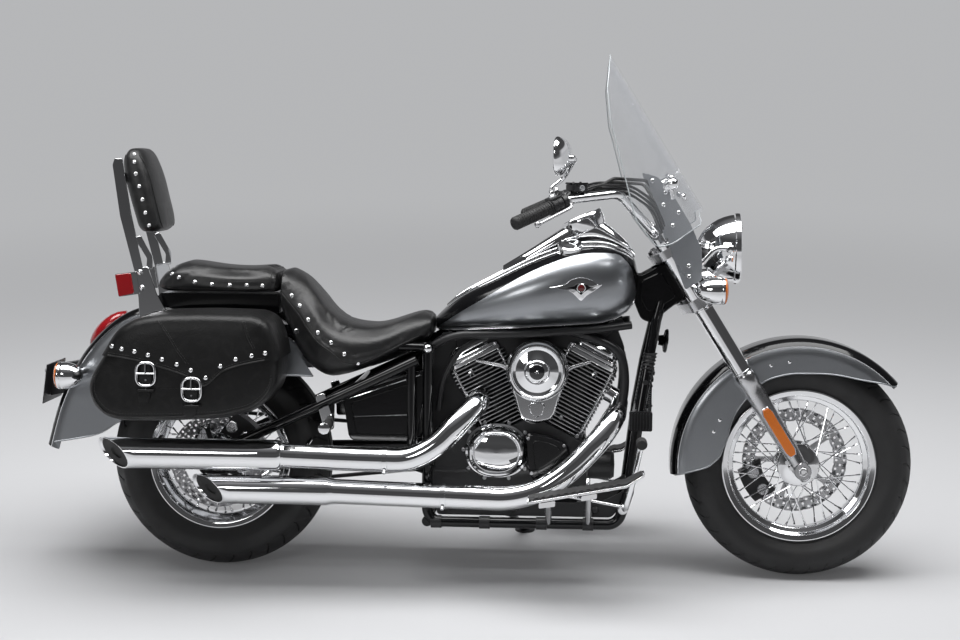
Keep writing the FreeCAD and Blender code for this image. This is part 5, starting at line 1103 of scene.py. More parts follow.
# Rear fender: a deep steel pressing in the same two colours, hung from flat struts on the frame, with a
# bright line along each shoulder and a rolled edge below.
crown_line = [(-1318, 0, 352), (-1276, 0, 492), (-1196, 0, 636), (-1072, 0, 738), (-900, 0, 760),
    (-720, 0, 742), (-560, 0, 650)]
crown_line = [Vector(p) for p in between(crown_line, 9)]
foot_line = [(-1290, 0, 362), (-1171, 0, 385), (-1107, 0, 422), (-1000, 0, 500), (-880, 0, 540),
    (-700, 0, 560), (-548, 0, 562)]
foot_line = [Vector(p) for p in between(foot_line, 9)]
grids = [[[], []], [[], []]]
shoulder = []
for i, top in enumerate(crown_line):
    way = heading(crown_line, i)
    into = Vector((way.z, 0, -way.x))
    for depth, grid in zip((0, 3), grids):
        side = []
        crown_row = []
        for k in range(13):
            turn = math.pi / 2 * k / 12
            spot = top + into * (42 - (42 - depth) * math.sin(turn)) + Vector((0,
                70 + (42 - depth) * math.cos(turn), 0))
            (side if k <= 5 else crown_row).append(spot)
        crown_row.insert(0, side[-1])
        low = foot_line[i] + Vector((0, 112 - depth, 0))
        grid[0].append([low + (side[0] - low) * k / 6 for k in range(6)] + side)
        grid[1].append(crown_row + [Vector((p.x, -p.y, p.z)) for p in reversed(crown_row)])
    shoulder.append(grids[0][1][-1][0] + Vector((0, 0.4, 0)))
fender("rear", "chassis", grids, shoulder, 1.6, 2.4)

# Fuel tank: two pressed steel halves joined by a bright flange along the bottom, grey on the sides and
# black over the top and nose, with a plain kite-shaped badge pinned to each side.
tank_stations = between([(-206, 46, 692, 730), (-140, 104, 690, 790), (-40, 144, 694, 847),
    (60, 165, 698, 900), (170, 168, 704, 942), (262, 155, 712, 948), (322, 121, 738, 925),
    (350, 84, 772, 900), (359, 50, 796, 872)], 7)
colour_line = between([(-206, 696), (-143, 742), (-45, 803), (52, 860), (148, 901), (216, 917), (293, 916),
    (322, 900), (344, 868), (359, 800)], 12)


def level(x):
    """Height of the colour line at x."""
    for (x0, z0), (x1, z1) in zip(colour_line, colour_line[1:]):
        if x <= x1:
            return z0 + (z1 - z0) * max(0.0, x - x0) / max(x1 - x0, 1e-6)
    return colour_line[-1][1]


def tank_spot(row, turn):
    x, half, low, high = row
    power = 2 / 2.4
    return Vector((x, half * squared(math.cos(turn), power),
        (low + high) / 2 + (high - low) / 2 * squared(math.sin(turn), power)))


lower = []
upper = []
flange = []
for row in tank_stations:
    x, half, low, high = row
    share = max(-0.96, min(0.96, (level(x) - (low + high) / 2) / ((high - low) / 2)))
    parting = math.asin(squared(share, 1.2))
    turns = [-math.pi / 2 + (parting + math.pi / 2) * k / 22 for k in range(23)]
    right = [tank_spot(row, turn) for turn in turns]
    lower.append([Vector((p.x, -p.y, p.z)) for p in reversed(right)] + right[1:])
    over = [tank_spot(row, parting + (math.pi - 2 * parting) * k / 30) for k in range(31)]
    upper.append(over)
    flange.append(tank_spot(row, -1.05) + Vector((0, 1.5, -1.5)))
for grid, word, coat in ((lower, "lower", grey_paint), (upper, "upper", gloss_black)):
    middle = [sum(ring, Vector()) / len(ring) for ring in grid]
    inner = [[p + (m - p).normalized() * 2 for p in ring] for ring, m in zip(grid, middle)]
    piece = make("tank_%s_shell" % word, "chassis", coat, [sheet_metal(grid, inner)], smooth=40,
        stands_for="fuel_tank" if word == "lower" else "")
    if word == "lower":
        tank_side = piece
rim_points = upper[-1] + lower[-1]
middle = sum(rim_points, Vector()) / len(rim_points)
nose = []
for share, ahead in ((1, 0), (0.8, 3.4), (0.4, 5), (0.01, 5.4)):
    nose.append([middle + (p - middle) * share + Vector((ahead, 0, 0)) for p in upper[-1] + lower[-1][1:-1]])
make("tank_nose", "chassis", gloss_black, [loft(nose)], smooth=50)
make("tank_flange", "chassis", chrome, both([tube(flange[1:-1], 2.6, 0, 10)]))


class Surface:
    """Finds where a line across the bike meets a finished cover, so that trim sits on it."""

    def __init__(self, piece):
        graph = bpy.context.evaluated_depsgraph_get()
        self.tree = BVHTree.FromObject(piece, graph)

    def at(self, x, z, side=-1, way=None, start=None):
        way = Vector(way) if way else Vector((0, -side, 0))
        start = Vector(start) if start else Vector((x, side * 600, z))
        spot, normal, face, far = self.tree.ray_cast(lean(start), upright.to_3x3() @ way)
        if spot is None:
            return None, None
        back = upright.inverted()
        return back @ spot * 1000, back.to_3x3() @ normal


tank_face = Surface(tank_side)
kite = [(72, 834), (128, 846), (150, 862), (186, 871), (222, 862), (244, 846), (262, 846), (236, 826),
    (206, 806), (186, 788), (166, 806), (140, 824)]
badges = []
cores = []
for side in (-1, 1):
    for grow, out, store in ((0.78, 1.6, badges), (0.4, 2.6, cores)):
        rings = []
        for share, lift in ((1, 0.1), (0.985, 0.6), (0.94, 1), (0.6, 1), (0.2, 1.1)):
            ring = []
            for x, z in dense(kite + kite[:1], 4)[:-1]:
                spot, normal = tank_face.at(202 + (x - 186) * grow * share, 822 + (z - 832) * grow * share,
                    side)
                ring.append(spot + normal * out * lift)
            rings.append(ring)
        store.append(loft(rings))
badge_red = finish("dark red enamel", (0.16, 0.012, 0.012), (0.09, 0.008, 0.008), 0.1, 0.16, coat=1.0)
make("tank_badges", "chassis", chrome, badges, smooth=30)
make("tank_badge_fields", "chassis", gloss_black, cores, smooth=30)
bosses = []
rings = []
for side in (-1, 1):
    spot, normal = tank_face.at(202, 824, side)
    bosses.append(turned([(9.5, 2), (9.5, 4.4), (6, 5.2), (0, 5.6)], spot, normal, 40))
    rings.append(turned([(12.5, 1), (12.5, 4.4), (11, 5.4), (9.6, 5.2), (9, 3.8)], spot, normal, 40))
make("tank_badge_bosses", "chassis", badge_red, bosses)
make("tank_badge_rings", "chassis", chrome, rings)

# Tank console: a chromed die-cast housing that tapers to the rear, holds the speedometer and covers the
# tank's centre seam, beside chromed strips; the filler cap is on the right.
pod = between([(-20, 6, 850, 874), (20, 24, 862, 900), (60, 34, 880, 926), (100, 38, 904, 952),
    (150, 40, 924, 984), (196, 41, 936, 1010), (236, 41, 940, 1016), (280, 38, 934, 990),
    (322, 30, 920, 955), (352, 16, 900, 918)], 5)
rings = []
for x, half, low, high in pod:
    ring = []
    for a, b in circle(1, 40):
        tall = squared(b, 0.72)
        narrow = 1.0 if tall < 0 else 1 - 0.18 * tall
        ring.append(Vector((x, half * squared(a, 0.72) * narrow,
            (low + high) / 2 + (high - low) / 2 * tall)))
    rings.append(ring)
make("console_housing", "chassis", chrome, [loft(rings)], smooth=40, stands_for="tank_console")
dial_at = Vector((212, 0, 988))
dial_way = Vector((-0.42, 0, 0.9)).normalized()
bezel = [(46, -14), (58, -10), (61, 4), (61, 20), (60, 27), (57, 31), (53, 31), (51, 28), (50, 20), (40, 18)]
make("speedometer_bezel", "chassis", chrome, [turned(bezel, dial_at, dial_way, 96, loop=True)], smooth=50)
dial_black = finish("dial black", (0.012, 0.012, 0.014), (0.02, 0.02, 0.022), 0.4, 0.5, height=0.2)
make("speedometer_dial", "chassis", dial_black, [turned([(51, 14), (51, 19), (0, 19.6)], dial_at, dial_way,
    64)])
dial_across = dial_way.cross(Vector((0, 1, 0))).normalized()
marks = []
for k in range(33):
    turn = math.radians(-130 + 260 * k / 32)
    out = dial_across * math.cos(turn) + Vector((0, 1, 0)) * math.sin(turn)
    start = dial_at + dial_way * 20 + out * (38 if k % 4 == 0 else 42)
    marks.append(tube([start, dial_at + dial_way * 20 + out * 47], 0.8 if k % 4 == 0 else 0.45, 0, 6))
pale = finish("pale dial print", (0.75, 0.76, 0.74), (0.66, 0.67, 0.65), 0.4, 0.5)
make("speedometer_marks", "chassis", pale, marks)
hand = finish("orange dial hand", (0.62, 0.11, 0.015), (0.5, 0.08, 0.01), 0.35, 0.45)
make("speedometer_hand", "chassis", hand, [tube([dial_at + dial_way * 22,
    dial_at + dial_way * 22 + dial_across * -30 + Vector((0, -26, 0))], (1.6, 0.6), 0, 8),
    turned([(6, 19), (6, 23), (4, 25), (0, 25.4)], dial_at, dial_way, 24)])
filler = Vector((172, -84, 922))
filler_way = Vector((0, -0.42, 0.91)).normalized()
cap = [(44, -6), (43, 2), (40, 4), (37, 4), (36, 8), (36, 15), (34, 19), (29, 21), (24, 20), (12, 22.5),
    (0, 23)]
make("fuel_filler_cap", "chassis", chrome, [turned(cap, filler, filler_way, 72)], smooth=30)
strips = []
for turn, r in ((1.22, 4.2), (1.0, 2.2)):
    line = [tank_spot(row, turn) + Vector((0, 0, 1.5)) for row in tank_stations[4:-9]]
    strips.append(tube(line, r, 0, 10))
make("tank_strips", "chassis", chrome, both(strips))

# Side covers: gloss black moulded panels clipped over the electrics box, each with two fine bright trim
# lines pressed into its face.
panel = [(-462, 506), (-236, 586), (-226, 560), (-254, 392), (-272, 384), (-436, 384), (-446, 396)]
inner = [(-440, 492), (-252, 556), (-266, 402), (-424, 402)]
make("side_panels", "chassis", gloss_black, both([plate(panel, -119, -129, 16, edge=3),
    plate(inner, -128, -134, 12, edge=4)]), smooth=30, bevel=1, stands_for="side_covers")
lines = [tube([(-452, -130, 500), (-244, -130, 572)], 1.6, 0, 8), tube([(-430, -134.5, 452),
    (-264, -134.5, 460)], 1.3, 0, 8)]
make("side_panel_trim", "chassis", chrome, both(lines))
box = [plate([(-440, 392), (-440, 520), (-246, 560), (-246, 392)], -88, 88, 8)]
for x, z in ((-290, 524), (-400, 478)):
    box.append(tube([(x, -120, z), (x, 120, z)], 10, 0, 16))
box.append(tube([(-222, -118, 540), (-222, 118, 540)], 8, 0, 16))
make("electrics_case", "chassis", plastic, box)

# Tail: a red lens on a chromed base that follows the fender's crown, bullet turn signals on stalks, red
# reflectors behind the side brackets, and the holder for a number plate.
ruby = finish("ruby lens", (0.42, 0.008, 0.012), (0.22, 0.004, 0.008), 0.08, 0.14, coat=1.0, height=0.25,
    grain=420.0)
tail = [p for p in crown_line if -1212 < p.x < -1092]


def tail_rings(wide, tall, sink):
    rings = []
    for i, p in enumerate(tail):
        way = heading(tail, i)
        out = Vector((-way.z, 0, way.x))
        share = math.sin(math.pi * (i + 0.25) / (len(tail) - 0.5))
        ring = []
        for a, b in circle(1, 36):
            lift = sink + tall * share ** 0.55 * max(b, -0.05)
            ring.append(p + out * lift + Vector((0, a * wide * share ** 0.4, 0)))
        rings.append(ring)
    return rings


make("tail_lens", "chassis", ruby, [loft(tail_rings(43, 27, 3))], smooth=60, stands_for="rear_lamps")
make("tail_lamp_base", "chassis", chrome, [loft(tail_rings(47.5, 5, 0))], smooth=60)
rear_shell, rear_lens = bullet((-1250, -190, 562), 38, 66, -1)
stalk = tube([(-1212, -186, 562), (-1212, -150, 562), (-1200, -108, 566)], (10, 12), 20, 24)
make("rear_signal_shells", "chassis", chrome, both([rear_shell, stalk]), smooth=40)
make("rear_signal_lenses", "chassis", amber, both([rear_lens]), smooth=40)
red_line = [(-1106, 842), (-1062, 848), (-1053, 790), (-1096, 781)]
make("rear_reflectors", "chassis", ruby, both([plate(red_line, -129.2, -135, 4, edge=1.2)]))
tab = [(-1107.5, 843.5), (-1047, 851), (-1037, 789), (-1097, 779.5)]
make("reflector_tabs", "chassis", chrome, both([plate(tab, -126.9, -129.4, 5)]))
holder = []
for y, z in ((-73, 562), (73, 562)):
    holder.append(turned([(8, 0), (8, 2), (5, 5), (0, 5)], (-1322 + (z - 524) * 0.12 - 3, y, z),
        (-1, 0, 0.12), 20))
holder.append(tube([(-1240, -40, 520), (-1300, -70, 520)], 6, 0, 12))
make("plate_holder_bolts", "chassis", steel, holder)

# Backrest bar: flat chromed steel legs on side brackets that bolt to the fender's struts, a strap behind
# the pad, and a short brace ahead of each leg.
side_foot = [(-1038, 700), (-952, 728), (-968, 750), (-990, 790), (-1014, 866), (-1054, 860), (-1050, 824),
    (-1042, 780)]
side_leg = [(-1052, 850), (-1026, 856), (-1060, 1010), (-1082, 1150), (-1084, 1168), (-1106, 1168),
    (-1112, 1150), (-1092, 1006)]
brace = [(-1054, 946), (-1036, 953), (-1002, 894), (-1002, 858), (-1020, 858), (-1018, 888)]
bar = both([plate(side_foot, -120.4, -126.8, 8, edge=1), plate(side_leg, -120.4, -127.4, 5, edge=1),
    plate(brace, -114, -120, 5, edge=1)])
strap = plate([(-127, 1096), (127, 1096), (127, 1126), (-127, 1126)], -1104, -1098, 2,
    lambda a, b, c: (c, a, b), 1)
make("backrest_bar", "chassis", chrome, bar + [strap], bevel=0.8, stands_for="sissy_bar")
heads = []
for x, z in ((-1020, 716), (-978, 734), (-1036, 850), (-1030, 806)):
    heads.append(turned([(8, 0), (8, 2), (6, 4.6), (3, 5.6), (0, 5.8)], (x, -126.8, z), (0, -1, 0), 24))
make("backrest_bolts", "chassis", chrome, both(heads))


# Footboards: pressed steel boards with ribbed rubber mats on arms from the lower rails, the brake pedal
# and gear lever ahead of them, and folding pegs for the passenger.
def board_spot(x, y, lift):
    run = x - 66
    z = 258 + run * 0.1894 if x < 330 else 308 + (x - 330) * 0.6
    return Vector((x, y, z + lift))


def board(shrink, low, high, rows):
    rings = []
    for x, half in rows:
        half -= shrink
        ring = []
        for a, b in ((-1, low), (-1, high), (1, high), (1, low)):
            ring.append(board_spot(x, -306 + a * half, b))
        rings.append(ring)
    return loft(rings)


shape = [(64, 34), (68, 42), (76, 48), (90, 50), (200, 50), (318, 50), (330, 50), (342, 49), (360, 45),
    (372, 38), (379, 28)]
make("footboard_plates", "chassis", chrome, both([board(0, -6, 1, shape)]), bevel=1.5, smooth=30,
    stands_for="foot_rests")
mat = [(x, half) for x, half in shape if 68 <= x <= 372]
ridges = [board(8, 1, 4.5, mat)]
for k in range(12):
    x = 84 + 20 * k
    ridges.append(board(12, 4, 6.6, [(x, 50), (x + 10, 50)]))
peg = []
for k in range(9):
    y = -164 - 8 * k
    peg.append(turned([(12.9, 0), (14.5, -1), (14.5, -5), (12.9, -6)], (-500, y, 432), (0, 1, 0), 24))
pedal_pad = [
    turned([(0, 0), (13, 0), (14, -1.5), (14, -52), (12, -54), (0, -54)], (372, -245, 410), (0, 1, 0), 24)]
pedal_pad += [turned([(14, 0), (15, -1), (15, -4), (14, -5)], (372, -250 - 9 * k, 410), (0, 1, 0), 24)
    for k in range(5)]
make("foot_rubbers", "chassis", rubber, both(ridges + peg + pedal_pad), smooth=30)
metal = [tube([(326, -132, 204), (332, -193, 214), (350, -223, 290), (372, -262, 410)], 8, 22, 20),
    turned([(14, 0), (14, 12), (11, 15), (0, 15)], (326, -149, 206), (0, -1, 0), 28),
    tube([(120, -142, 162), (120, -200, 200), (120, -280, 262)], 9, 24, 16),
    tube([(230, -142, 162), (230, -200, 210), (230, -280, 284)], 9, 24, 16),
    tube([(330, -196, 220), (240, -196, 236), (150, -170, 246)], 4, 10, 12),
    plate([(96, 240), (140, 246), (140, 262), (96, 254)], -268, -344, 4),
    plate([(210, 262), (252, 270), (252, 284), (210, 276)], -268, -344, 4),
    turned([(0, 0), (13, 0), (13, -84), (12, -88), (0, -88)], (-500, -151, 432), (0, 1, 0), 24),
    turned([(14.4, 0), (16, -2), (16, -4), (12, -5.5), (0, -6)], (-500, -237, 432), (0, 1, 0), 24),
    plate([(-536, 512), (-510, 520), (-482, 436), (-488, 418), (-512, 420)], -151.4, -158, 7, edge=1)]
make("foot_controls_metal", "chassis", chrome, both(metal), bevel=0.6)

# Saddle for the rider: moulded foam on a plastic pan, covered in black full-grain leather with a skirt
# panel on each side, sewn along a welt and set with chromed nails; it hooks under the passenger's pad.
hide, given, result = effect("hide",
    {"Light": "Color", "Dark": "Color", "Grain": "Float", "Height": "Float"},
    {"Color": "Color", "Roughness": "Float", "Normal": "Vector"})
where = node(hide, "TexCoord", {})["Object"]
cells = node(hide, "TexVoronoi", {"Vector": where, "Scale": given["Grain"]}, feature="SMOOTH_F1")
creases = node(hide, "TexNoise", {"Vector": where, "Scale": 26, "Detail": 9, "Distortion": 1.2})["Fac"]
pores = node(hide, "Math", {0: creases, 1: 1.6, 2: cells["Distance"]}, operation="MULTIPLY_ADD")
relief = node(hide, "Bump", {"Height": pores["Value"], "Strength": given["Height"], "Distance": 0.0012})
scuff = node(hide, "MapRange", {"Value": creases, "From Min": 0.5, "From Max": 0.8})
gloss = node(hide, "MapRange", {"Value": creases, "To Min": 0.3, "To Max": 0.52})
feed(hide, result, {"Color": mixed(hide, scuff["Result"], given["Dark"], given["Light"]),
    "Roughness": gloss["Result"], "Normal": relief["Normal"]})


def leather(name, light, dark, grain, height, specular=0.5):
    material = bpy.data.materials.new(name)
    material.use_nodes = True
    tree = material.node_tree
    skin = node(tree, "Group", {"Light": (*light, 1), "Dark": (*dark, 1), "Grain": grain, "Height": height},
        node_tree=hide)
    feed(tree, tree.nodes["Principled BSDF"], {"Base Color": skin["Color"], "Roughness": skin["Roughness"],
        "Normal": skin["Normal"], "Specular IOR Level": specular})
    return material


seat_hide = leather("seat leather", (0.028, 0.0275, 0.0275), (0.010, 0.010, 0.0105), 420.0, 0.3)
welt = leather("leather piping", (0.03, 0.03, 0.03), (0.010, 0.010, 0.010), 600.0, 0.3)
thread = finish("waxed thread", (0.05, 0.05, 0.05), (0.03, 0.03, 0.03), 0.6, 0.8, height=0.4)


def cushion_rings(stations, tuck):
    """Sections across the bike, (x, half width, low z, high z), flatter below than above."""
    rings = []
    for x, half, low, high in between(stations, 5):
        ring = []
        for a, b in circle(1, 44):
            power = 2 / (2.7 if b > 0 else 2.7 * 1.6)
            tall = squared(b, power)
            squeeze = 1 - tuck * max(0.0, -tall) ** 2
            ring.append(Vector((x, half * squared(a, power) * squeeze,
                (low + high) / 2 + (high - low) / 2 * tall)))
        rings.append(ring)
    return rings


def stuff(piece, cap, sewn):
    """Swells the cover over its foam, held down where it is sewn, and keeps the result."""
    cover = piece.modifiers.new("weave", "REMESH")
    cover.mode = "VOXEL"
    cover.voxel_size = 0.0055
    cover.use_smooth_shade = True
    graph = bpy.context.evaluated_depsgraph_get()
    rest = bpy.data.meshes.new_from_object(piece.evaluated_get(graph))
    piece.modifiers.clear()
    piece.data = rest
    start = [v.co.copy() for v in rest.vertices]
    cloth = piece.modifiers.new("cloth", "CLOTH").settings
    cloth.use_pressure = True
    cloth.uniform_pressure_force = 4.0
    cloth.tension_stiffness = 12
    cloth.compression_stiffness = 12
    cloth.bending_stiffness = 0.6
    cloth.effector_weights.gravity = 0
    pins = piece.vertex_groups.new(name="sewn")
    back = upright.inverted()
    pins.add([v.index for v in rest.vertices if sewn(*(back @ v.co * 1000))], 1.0, "REPLACE")
    cloth.vertex_group_mass = "sewn"
    for step in range(1, 21):
        bpy.context.scene.frame_set(step)
    graph = bpy.context.evaluated_depsgraph_get()
    swollen = [v.co.copy() for v in piece.evaluated_get(graph).data.vertices]
    for vertex, old, new in zip(rest.vertices, start, swollen):
        move = new - old
        vertex.co = old + move * min(1.0, cap / max(move.length, 1e-9))
    piece.modifiers.clear()
    bpy.context.scene.frame_set(1)
    soft = piece.modifiers.new("rounding", "SUBSURF")
    soft.levels = 1
    soft.render_levels = 1


def stud(spot, normal, r=6.5):
    """A domed nail head."""
    profile = [(r, -1.5), (r, 0), (r * 0.94, r * 0.22), (r * 0.72, r * 0.42), (r * 0.38, r * 0.54),
        (0, r * 0.58)]
    return turned(profile, spot, normal, 14)


def nailed(cover, spots, side, r=6.5):
    """Nails at (x, z) on one side of a cover."""
    found = [cover.at(x, z, side) for x, z in spots]
    return [stud(spot, normal, r) for spot, normal in found if spot]


def seam(line, r):
    return tube(line, r, 0, 8)


def stitches(line):
    """Short threads along a line of points."""
    pitch = 8.0
    long = 5.0
    parts = []
    run = 0.0
    for a, b in zip(line, line[1:]):
        span = (b - a).length
        while run < span:
            way = (b - a) / span
            start = a + way * run
            parts.append(tube([start, start + way * long], 0.55, 0, 5))
            run += pitch
        run -= span
    return parts


def traced(cover, points, side, out):
    """The line of points (x, z) laid on the cover's side."""
    found = [cover.at(x, z, side) for x, z in points]
    return [spot + normal * out for spot, normal in found if spot]


def moved(line, x, z):
    return [(a + x, b + z) for a, b in line]


def trim(word, cover, nails, nail_r, welt_lines, welt_r, thread_lines, rings=()):
    """A cushion's nails, welts and stitching, on both sides."""
    heads = []
    welts = []
    threads = []
    for side in (-1, 1):
        heads += nailed(cover, nails, side, nail_r)
        welts += [seam(traced(cover, line, side, 0.4), welt_r) for line in welt_lines]
        for line in thread_lines:
            threads += stitches(traced(cover, line, side, 0.2))
    make(word + "_nails", "chassis", chrome, heads)
    make(word + "_welts", "chassis", welt, welts + list(rings))
    make(word + "_stitching", "chassis", thread, threads)


def near_line(line, x, z, reach):
    return any((x - a) ** 2 + (z - b) ** 2 < reach ** 2 for a, b in line)


saddle_rows = [(-216, 96, 676, 738), (-262, 128, 644, 732), (-354, 160, 602, 702), (-411, 170, 580, 700),
    (-463, 175, 564, 712), (-504, 172, 560, 740), (-544, 162, 578, 790), (-584, 142, 616, 834),
    (-618, 130, 684, 856), (-640, 122, 742, 860)]
saddle_line = [(-640, 800), (-607, 762), (-583, 735), (-557, 698), (-529, 664), (-491, 637), (-453, 608),
    (-405, 606), (-354, 628), (-300, 656), (-250, 680)]
saddle_seams = dense(saddle_line)
welt_line = [(-652, 834), (-628, 812), (-600, 780), (-574, 742), (-548, 706), (-510, 676), (-470, 650),
    (-428, 632)]


def saddle_sewn(x, y, z):
    return abs(y) > 95 and near_line(saddle_seams, x, z, 4.5) or z < 590


saddle = make("rider_saddle", "chassis", seat_hide, [loft(cushion_rings(saddle_rows, 0.10))],
    stands_for="rider_seat")
stuff(saddle, 0.007, saddle_sewn)
nails = [(-607, 789), (-583, 762), (-557, 724), (-529, 689), (-491, 662), (-453, 631), (-415, 603)]
trim("saddle", Surface(saddle), nails, 6.5, [saddle_seams], 1.9,
    [dense(welt_line), moved(saddle_seams, 0, -5)])

# Passenger's pad: a second foam cushion in the same leather on its own gloss black base, with a
# row of nails along each side and a doubled seam where it meets the rider's saddle.
pad_rows = [(-650, 122, 797, 856), (-676, 131, 794, 862), (-746, 132, 793, 858), (-816, 133, 793, 861),
    (-897, 132, 793, 872), (-936, 126, 793, 871), (-970, 112, 794, 852), (-992, 88, 800, 826)]
pillow_line = [(-962, 806), (-900, 803), (-816, 801), (-740, 801), (-660, 803)]
pillow_seam = dense(pillow_line)


def pillow_sewn(x, y, z):
    return abs(y) > 90 and near_line(pillow_seam, x, z, 4) or z < 797


pillow = make("passenger_pillow", "chassis", seat_hide, [loft(cushion_rings(pad_rows, 0.05))],
    stands_for="passenger_seat")
stuff(pillow, 0.006, pillow_sewn)
pillow_face = Surface(pillow)
seams_across = []
for x in (-656, -666):
    ring = []
    for k in range(25):
        turn = math.pi * k / 24
        way = (0, -math.cos(turn), -math.sin(turn) - 0.02)
        start = (x, 400 * math.cos(turn), 815 + 400 * math.sin(turn))
        spot, normal = pillow_face.at(0, 0, 1, way, start)
        if spot:
            ring.append(spot + normal * 0.3)
    seams_across.append(seam(ring, 1.7))
nails = [(-948, 846), (-926, 836), (-880, 824), (-832, 818), (-782, 816), (-734, 816), (-690, 815)]
trim("pillow", pillow_face, nails, 6.5, [pillow_seam], 1.8,
    [moved(pillow_seam, 0, 26)[10:], moved(pillow_seam, 0, 5)], seams_across)

# Backrest pad: a thick upright cushion on the legs of its bar, with welted edges front and back and
# nails along both sides between them.
rest_rows = [(962, -1046, 50, 92), (978, -1055, 74, 108), (1010, -1065, 83, 113), (1060, -1079, 85, 114),
    (1115, -1093, 86, 112), (1160, -1096, 74, 104), (1184, -1090, 56, 90), (1196, -1080, 34, 72)]


def rest_rings():
    rings = []
    for z, back, deep, half in between(rest_rows, 5):
        ring = []
        for a, b in circle(1, 44):
            crown = 1 + 0.06 * max(0.0, a)
            ring.append(Vector((
                back + deep / 2 * (1 + squared(a, 0.72) * crown), half * squared(b, 0.66), z)))
        rings.append(ring)
    return rings


rest_back = dense(
    [(-1050, 972), (-1063, 1010), (-1077, 1060), (-1091, 1112), (-1093, 1150), (-1086, 1178)], 4)
rest_fore = dense([(-984, 976), (-990, 1010), (-1002, 1060), (-1014, 1110), (-1028, 1150), (-1046, 1180)], 4)


def rest_sewn(x, y, z):
    return abs(y) > 70 and near_line(rest_back + rest_fore, x, z, 4)


rest = make("backrest_cushion", "chassis", seat_hide, [loft(rest_rings())], stands_for="backrest_pad")
stuff(rest, 0.005, rest_sewn)
nails = [(-1058, 1180), (-1056, 1158), (-1050, 1125), (-1040, 1090), (-1031, 1053), (-1023, 1016),
    (-1014, 980)]
trim("backrest", Surface(rest), nails, 6.0, [rest_back, rest_fore], 1.7,
    [moved(rest_back, 6, 0), moved(rest_fore, -6, 0)])

# Saddlebags: stiff leather over a moulded shell, hung from arms on the fender's struts. The flap laps
# over the outer face with a row of nails, and two straps close it with chromed roller buckles.
bag_line = [(-1046, 700), (-994, 730), (-926, 742), (-802, 746), (-668, 743), (-634, 724), (-617, 684),
    (-608, 638), (-612, 562), (-634, 524), (-676, 490), (-760, 470), (-898, 461), (-1038, 458), (-1084, 470),
    (-1116, 504), (-1129, 543), (-1122, 580), (-1084, 640)]
flap_line = [(-1140, 640), (-1066, 638), (-996, 628), (-904, 604), (-849, 585), (-804, 560), (-757, 598),
    (-711, 616), (-642, 631), (-590, 634)]


def inset(line, amount):
    """The same closed outline moved inwards."""
    n = len(line)
    closer = []
    turn = sum(line[k][0] * line[(k + 1) % n][1] - line[(k + 1) % n][0] * line[k][1] for k in range(n))
    sign = 1 if turn > 0 else -1
    for k in range(n):
        a = Vector(line[k - 1])
        b = Vector(line[(k + 1) % n])
        way = (b - a).normalized()
        closer.append(Vector(line[k]) + Vector((-way.y, way.x)) * amount * sign)
    return closer


def bag_solid(outline, levels, crown):
    """Rings of the outline across the bike, each (y, inset), with a crowned outer face."""
    smooth = [p.xy for p in rounded([(a, b, 0) for a, b in outline], 26, closed=True, steps=3)]
    middle = sum(smooth, Vector((0, 0))) / len(smooth)
    rings = [[Vector((p.x, y, p.y)) for p in inset(smooth, amount)] for y, amount in levels]
    y, amount = levels[-1]
    last = inset(smooth, amount)
    for share, rise in ((0.8, 0.55), (0.55, 0.85), (0.25, 1.0)):
        rings.append([Vector((*(middle + (p - middle) * share), 0)).xzy + Vector((0, y + crown * rise, 0))
            for p in last])
    return loft(rings)


def carve(piece, tools):
    """Cuts other solids out of a piece and keeps the result."""
    for tool in tools:
        cut = piece.modifiers.new("cut", "BOOLEAN")
        cut.object = tool
        cut.operation = "DIFFERENCE"
        cut.solver = "FAST"
    graph = bpy.context.evaluated_depsgraph_get()
    done = bpy.data.meshes.new_from_object(piece.evaluated_get(graph))
    piece.modifiers.clear()
    piece.data = done
    for tool in tools:
        bpy.data.objects.remove(tool)
    shape = bmesh.new()
    shape.from_mesh(done)
    shade(shape, 42)
    shape.to_mesh(done)
    shape.free()


def turn_over(part, side):
    return part if side > 0 else other_side([part])[0]


# The bag leather is darker than the seat's: its darker colour is painted shade for the bags' upright sides.
bag_hide_painted_shade = leather("bag leather", (0.014, 0.0138, 0.0138), (0.006, 0.006, 0.0062), 300.0, 0.4, specular=0.3)
outer_levels = [(169, 12), (173, 4), (184, 0), (330, 0), (348, 4), (358, 11), (364, 20)]
inner_levels = [(174, 14), (178, 9), (190, 5), (326, 5), (342, 9), (352, 15), (357, 23)]
lid_levels = [(163, -5), (336, -5), (355, -1), (365, 7), (371, 17)]
room_levels = [(150, -2), (333, -2), (351, 1.5), (361, 9), (367, 19)]
lid_top = [(x, z + 5 if z > 690 else z) for x, z in bag_line]
low_line = [(x, z) for x, z in bag_line if z < 680]
tub_line = [(-1052, 690), (-617, 690)] + low_line
room_line = [(-1052, 760), (-617, 760)] + low_line
flap_nails = [(-1056, 665), (-1028, 658), (-993, 652), (-956, 643), (-918, 632), (-878, 619), (-840, 604),
    (-800, 584), (-760, 616), (-719, 635), (-676, 645), (-640, 652)]
flap_edge = dense(flap_line[1:-1], 8)
top_seams = [dense([(-930, 736), (-905, 700), (-880, 660), (-852, 622)], 8),
    dense([(-700, 736), (-690, 700), (-672, 664)], 8)]
bag_rim = [(p.x, p.y)
    for p in inset([p.xy for p in rounded([(a, b, 0) for a, b in bag_line], 26, True, 3)], 15)]
bag_rim = [p for p in bag_rim if p[1] < 600]
start = min(range(len(bag_rim)), key=lambda k: -bag_rim[k][1] if bag_rim[k][0] > -800 else 0)
bag_rim = bag_rim[start:] + bag_rim[:start]
eyelet = [(2.6, -1), (2.6, 0.6), (1.2, 0.6)]
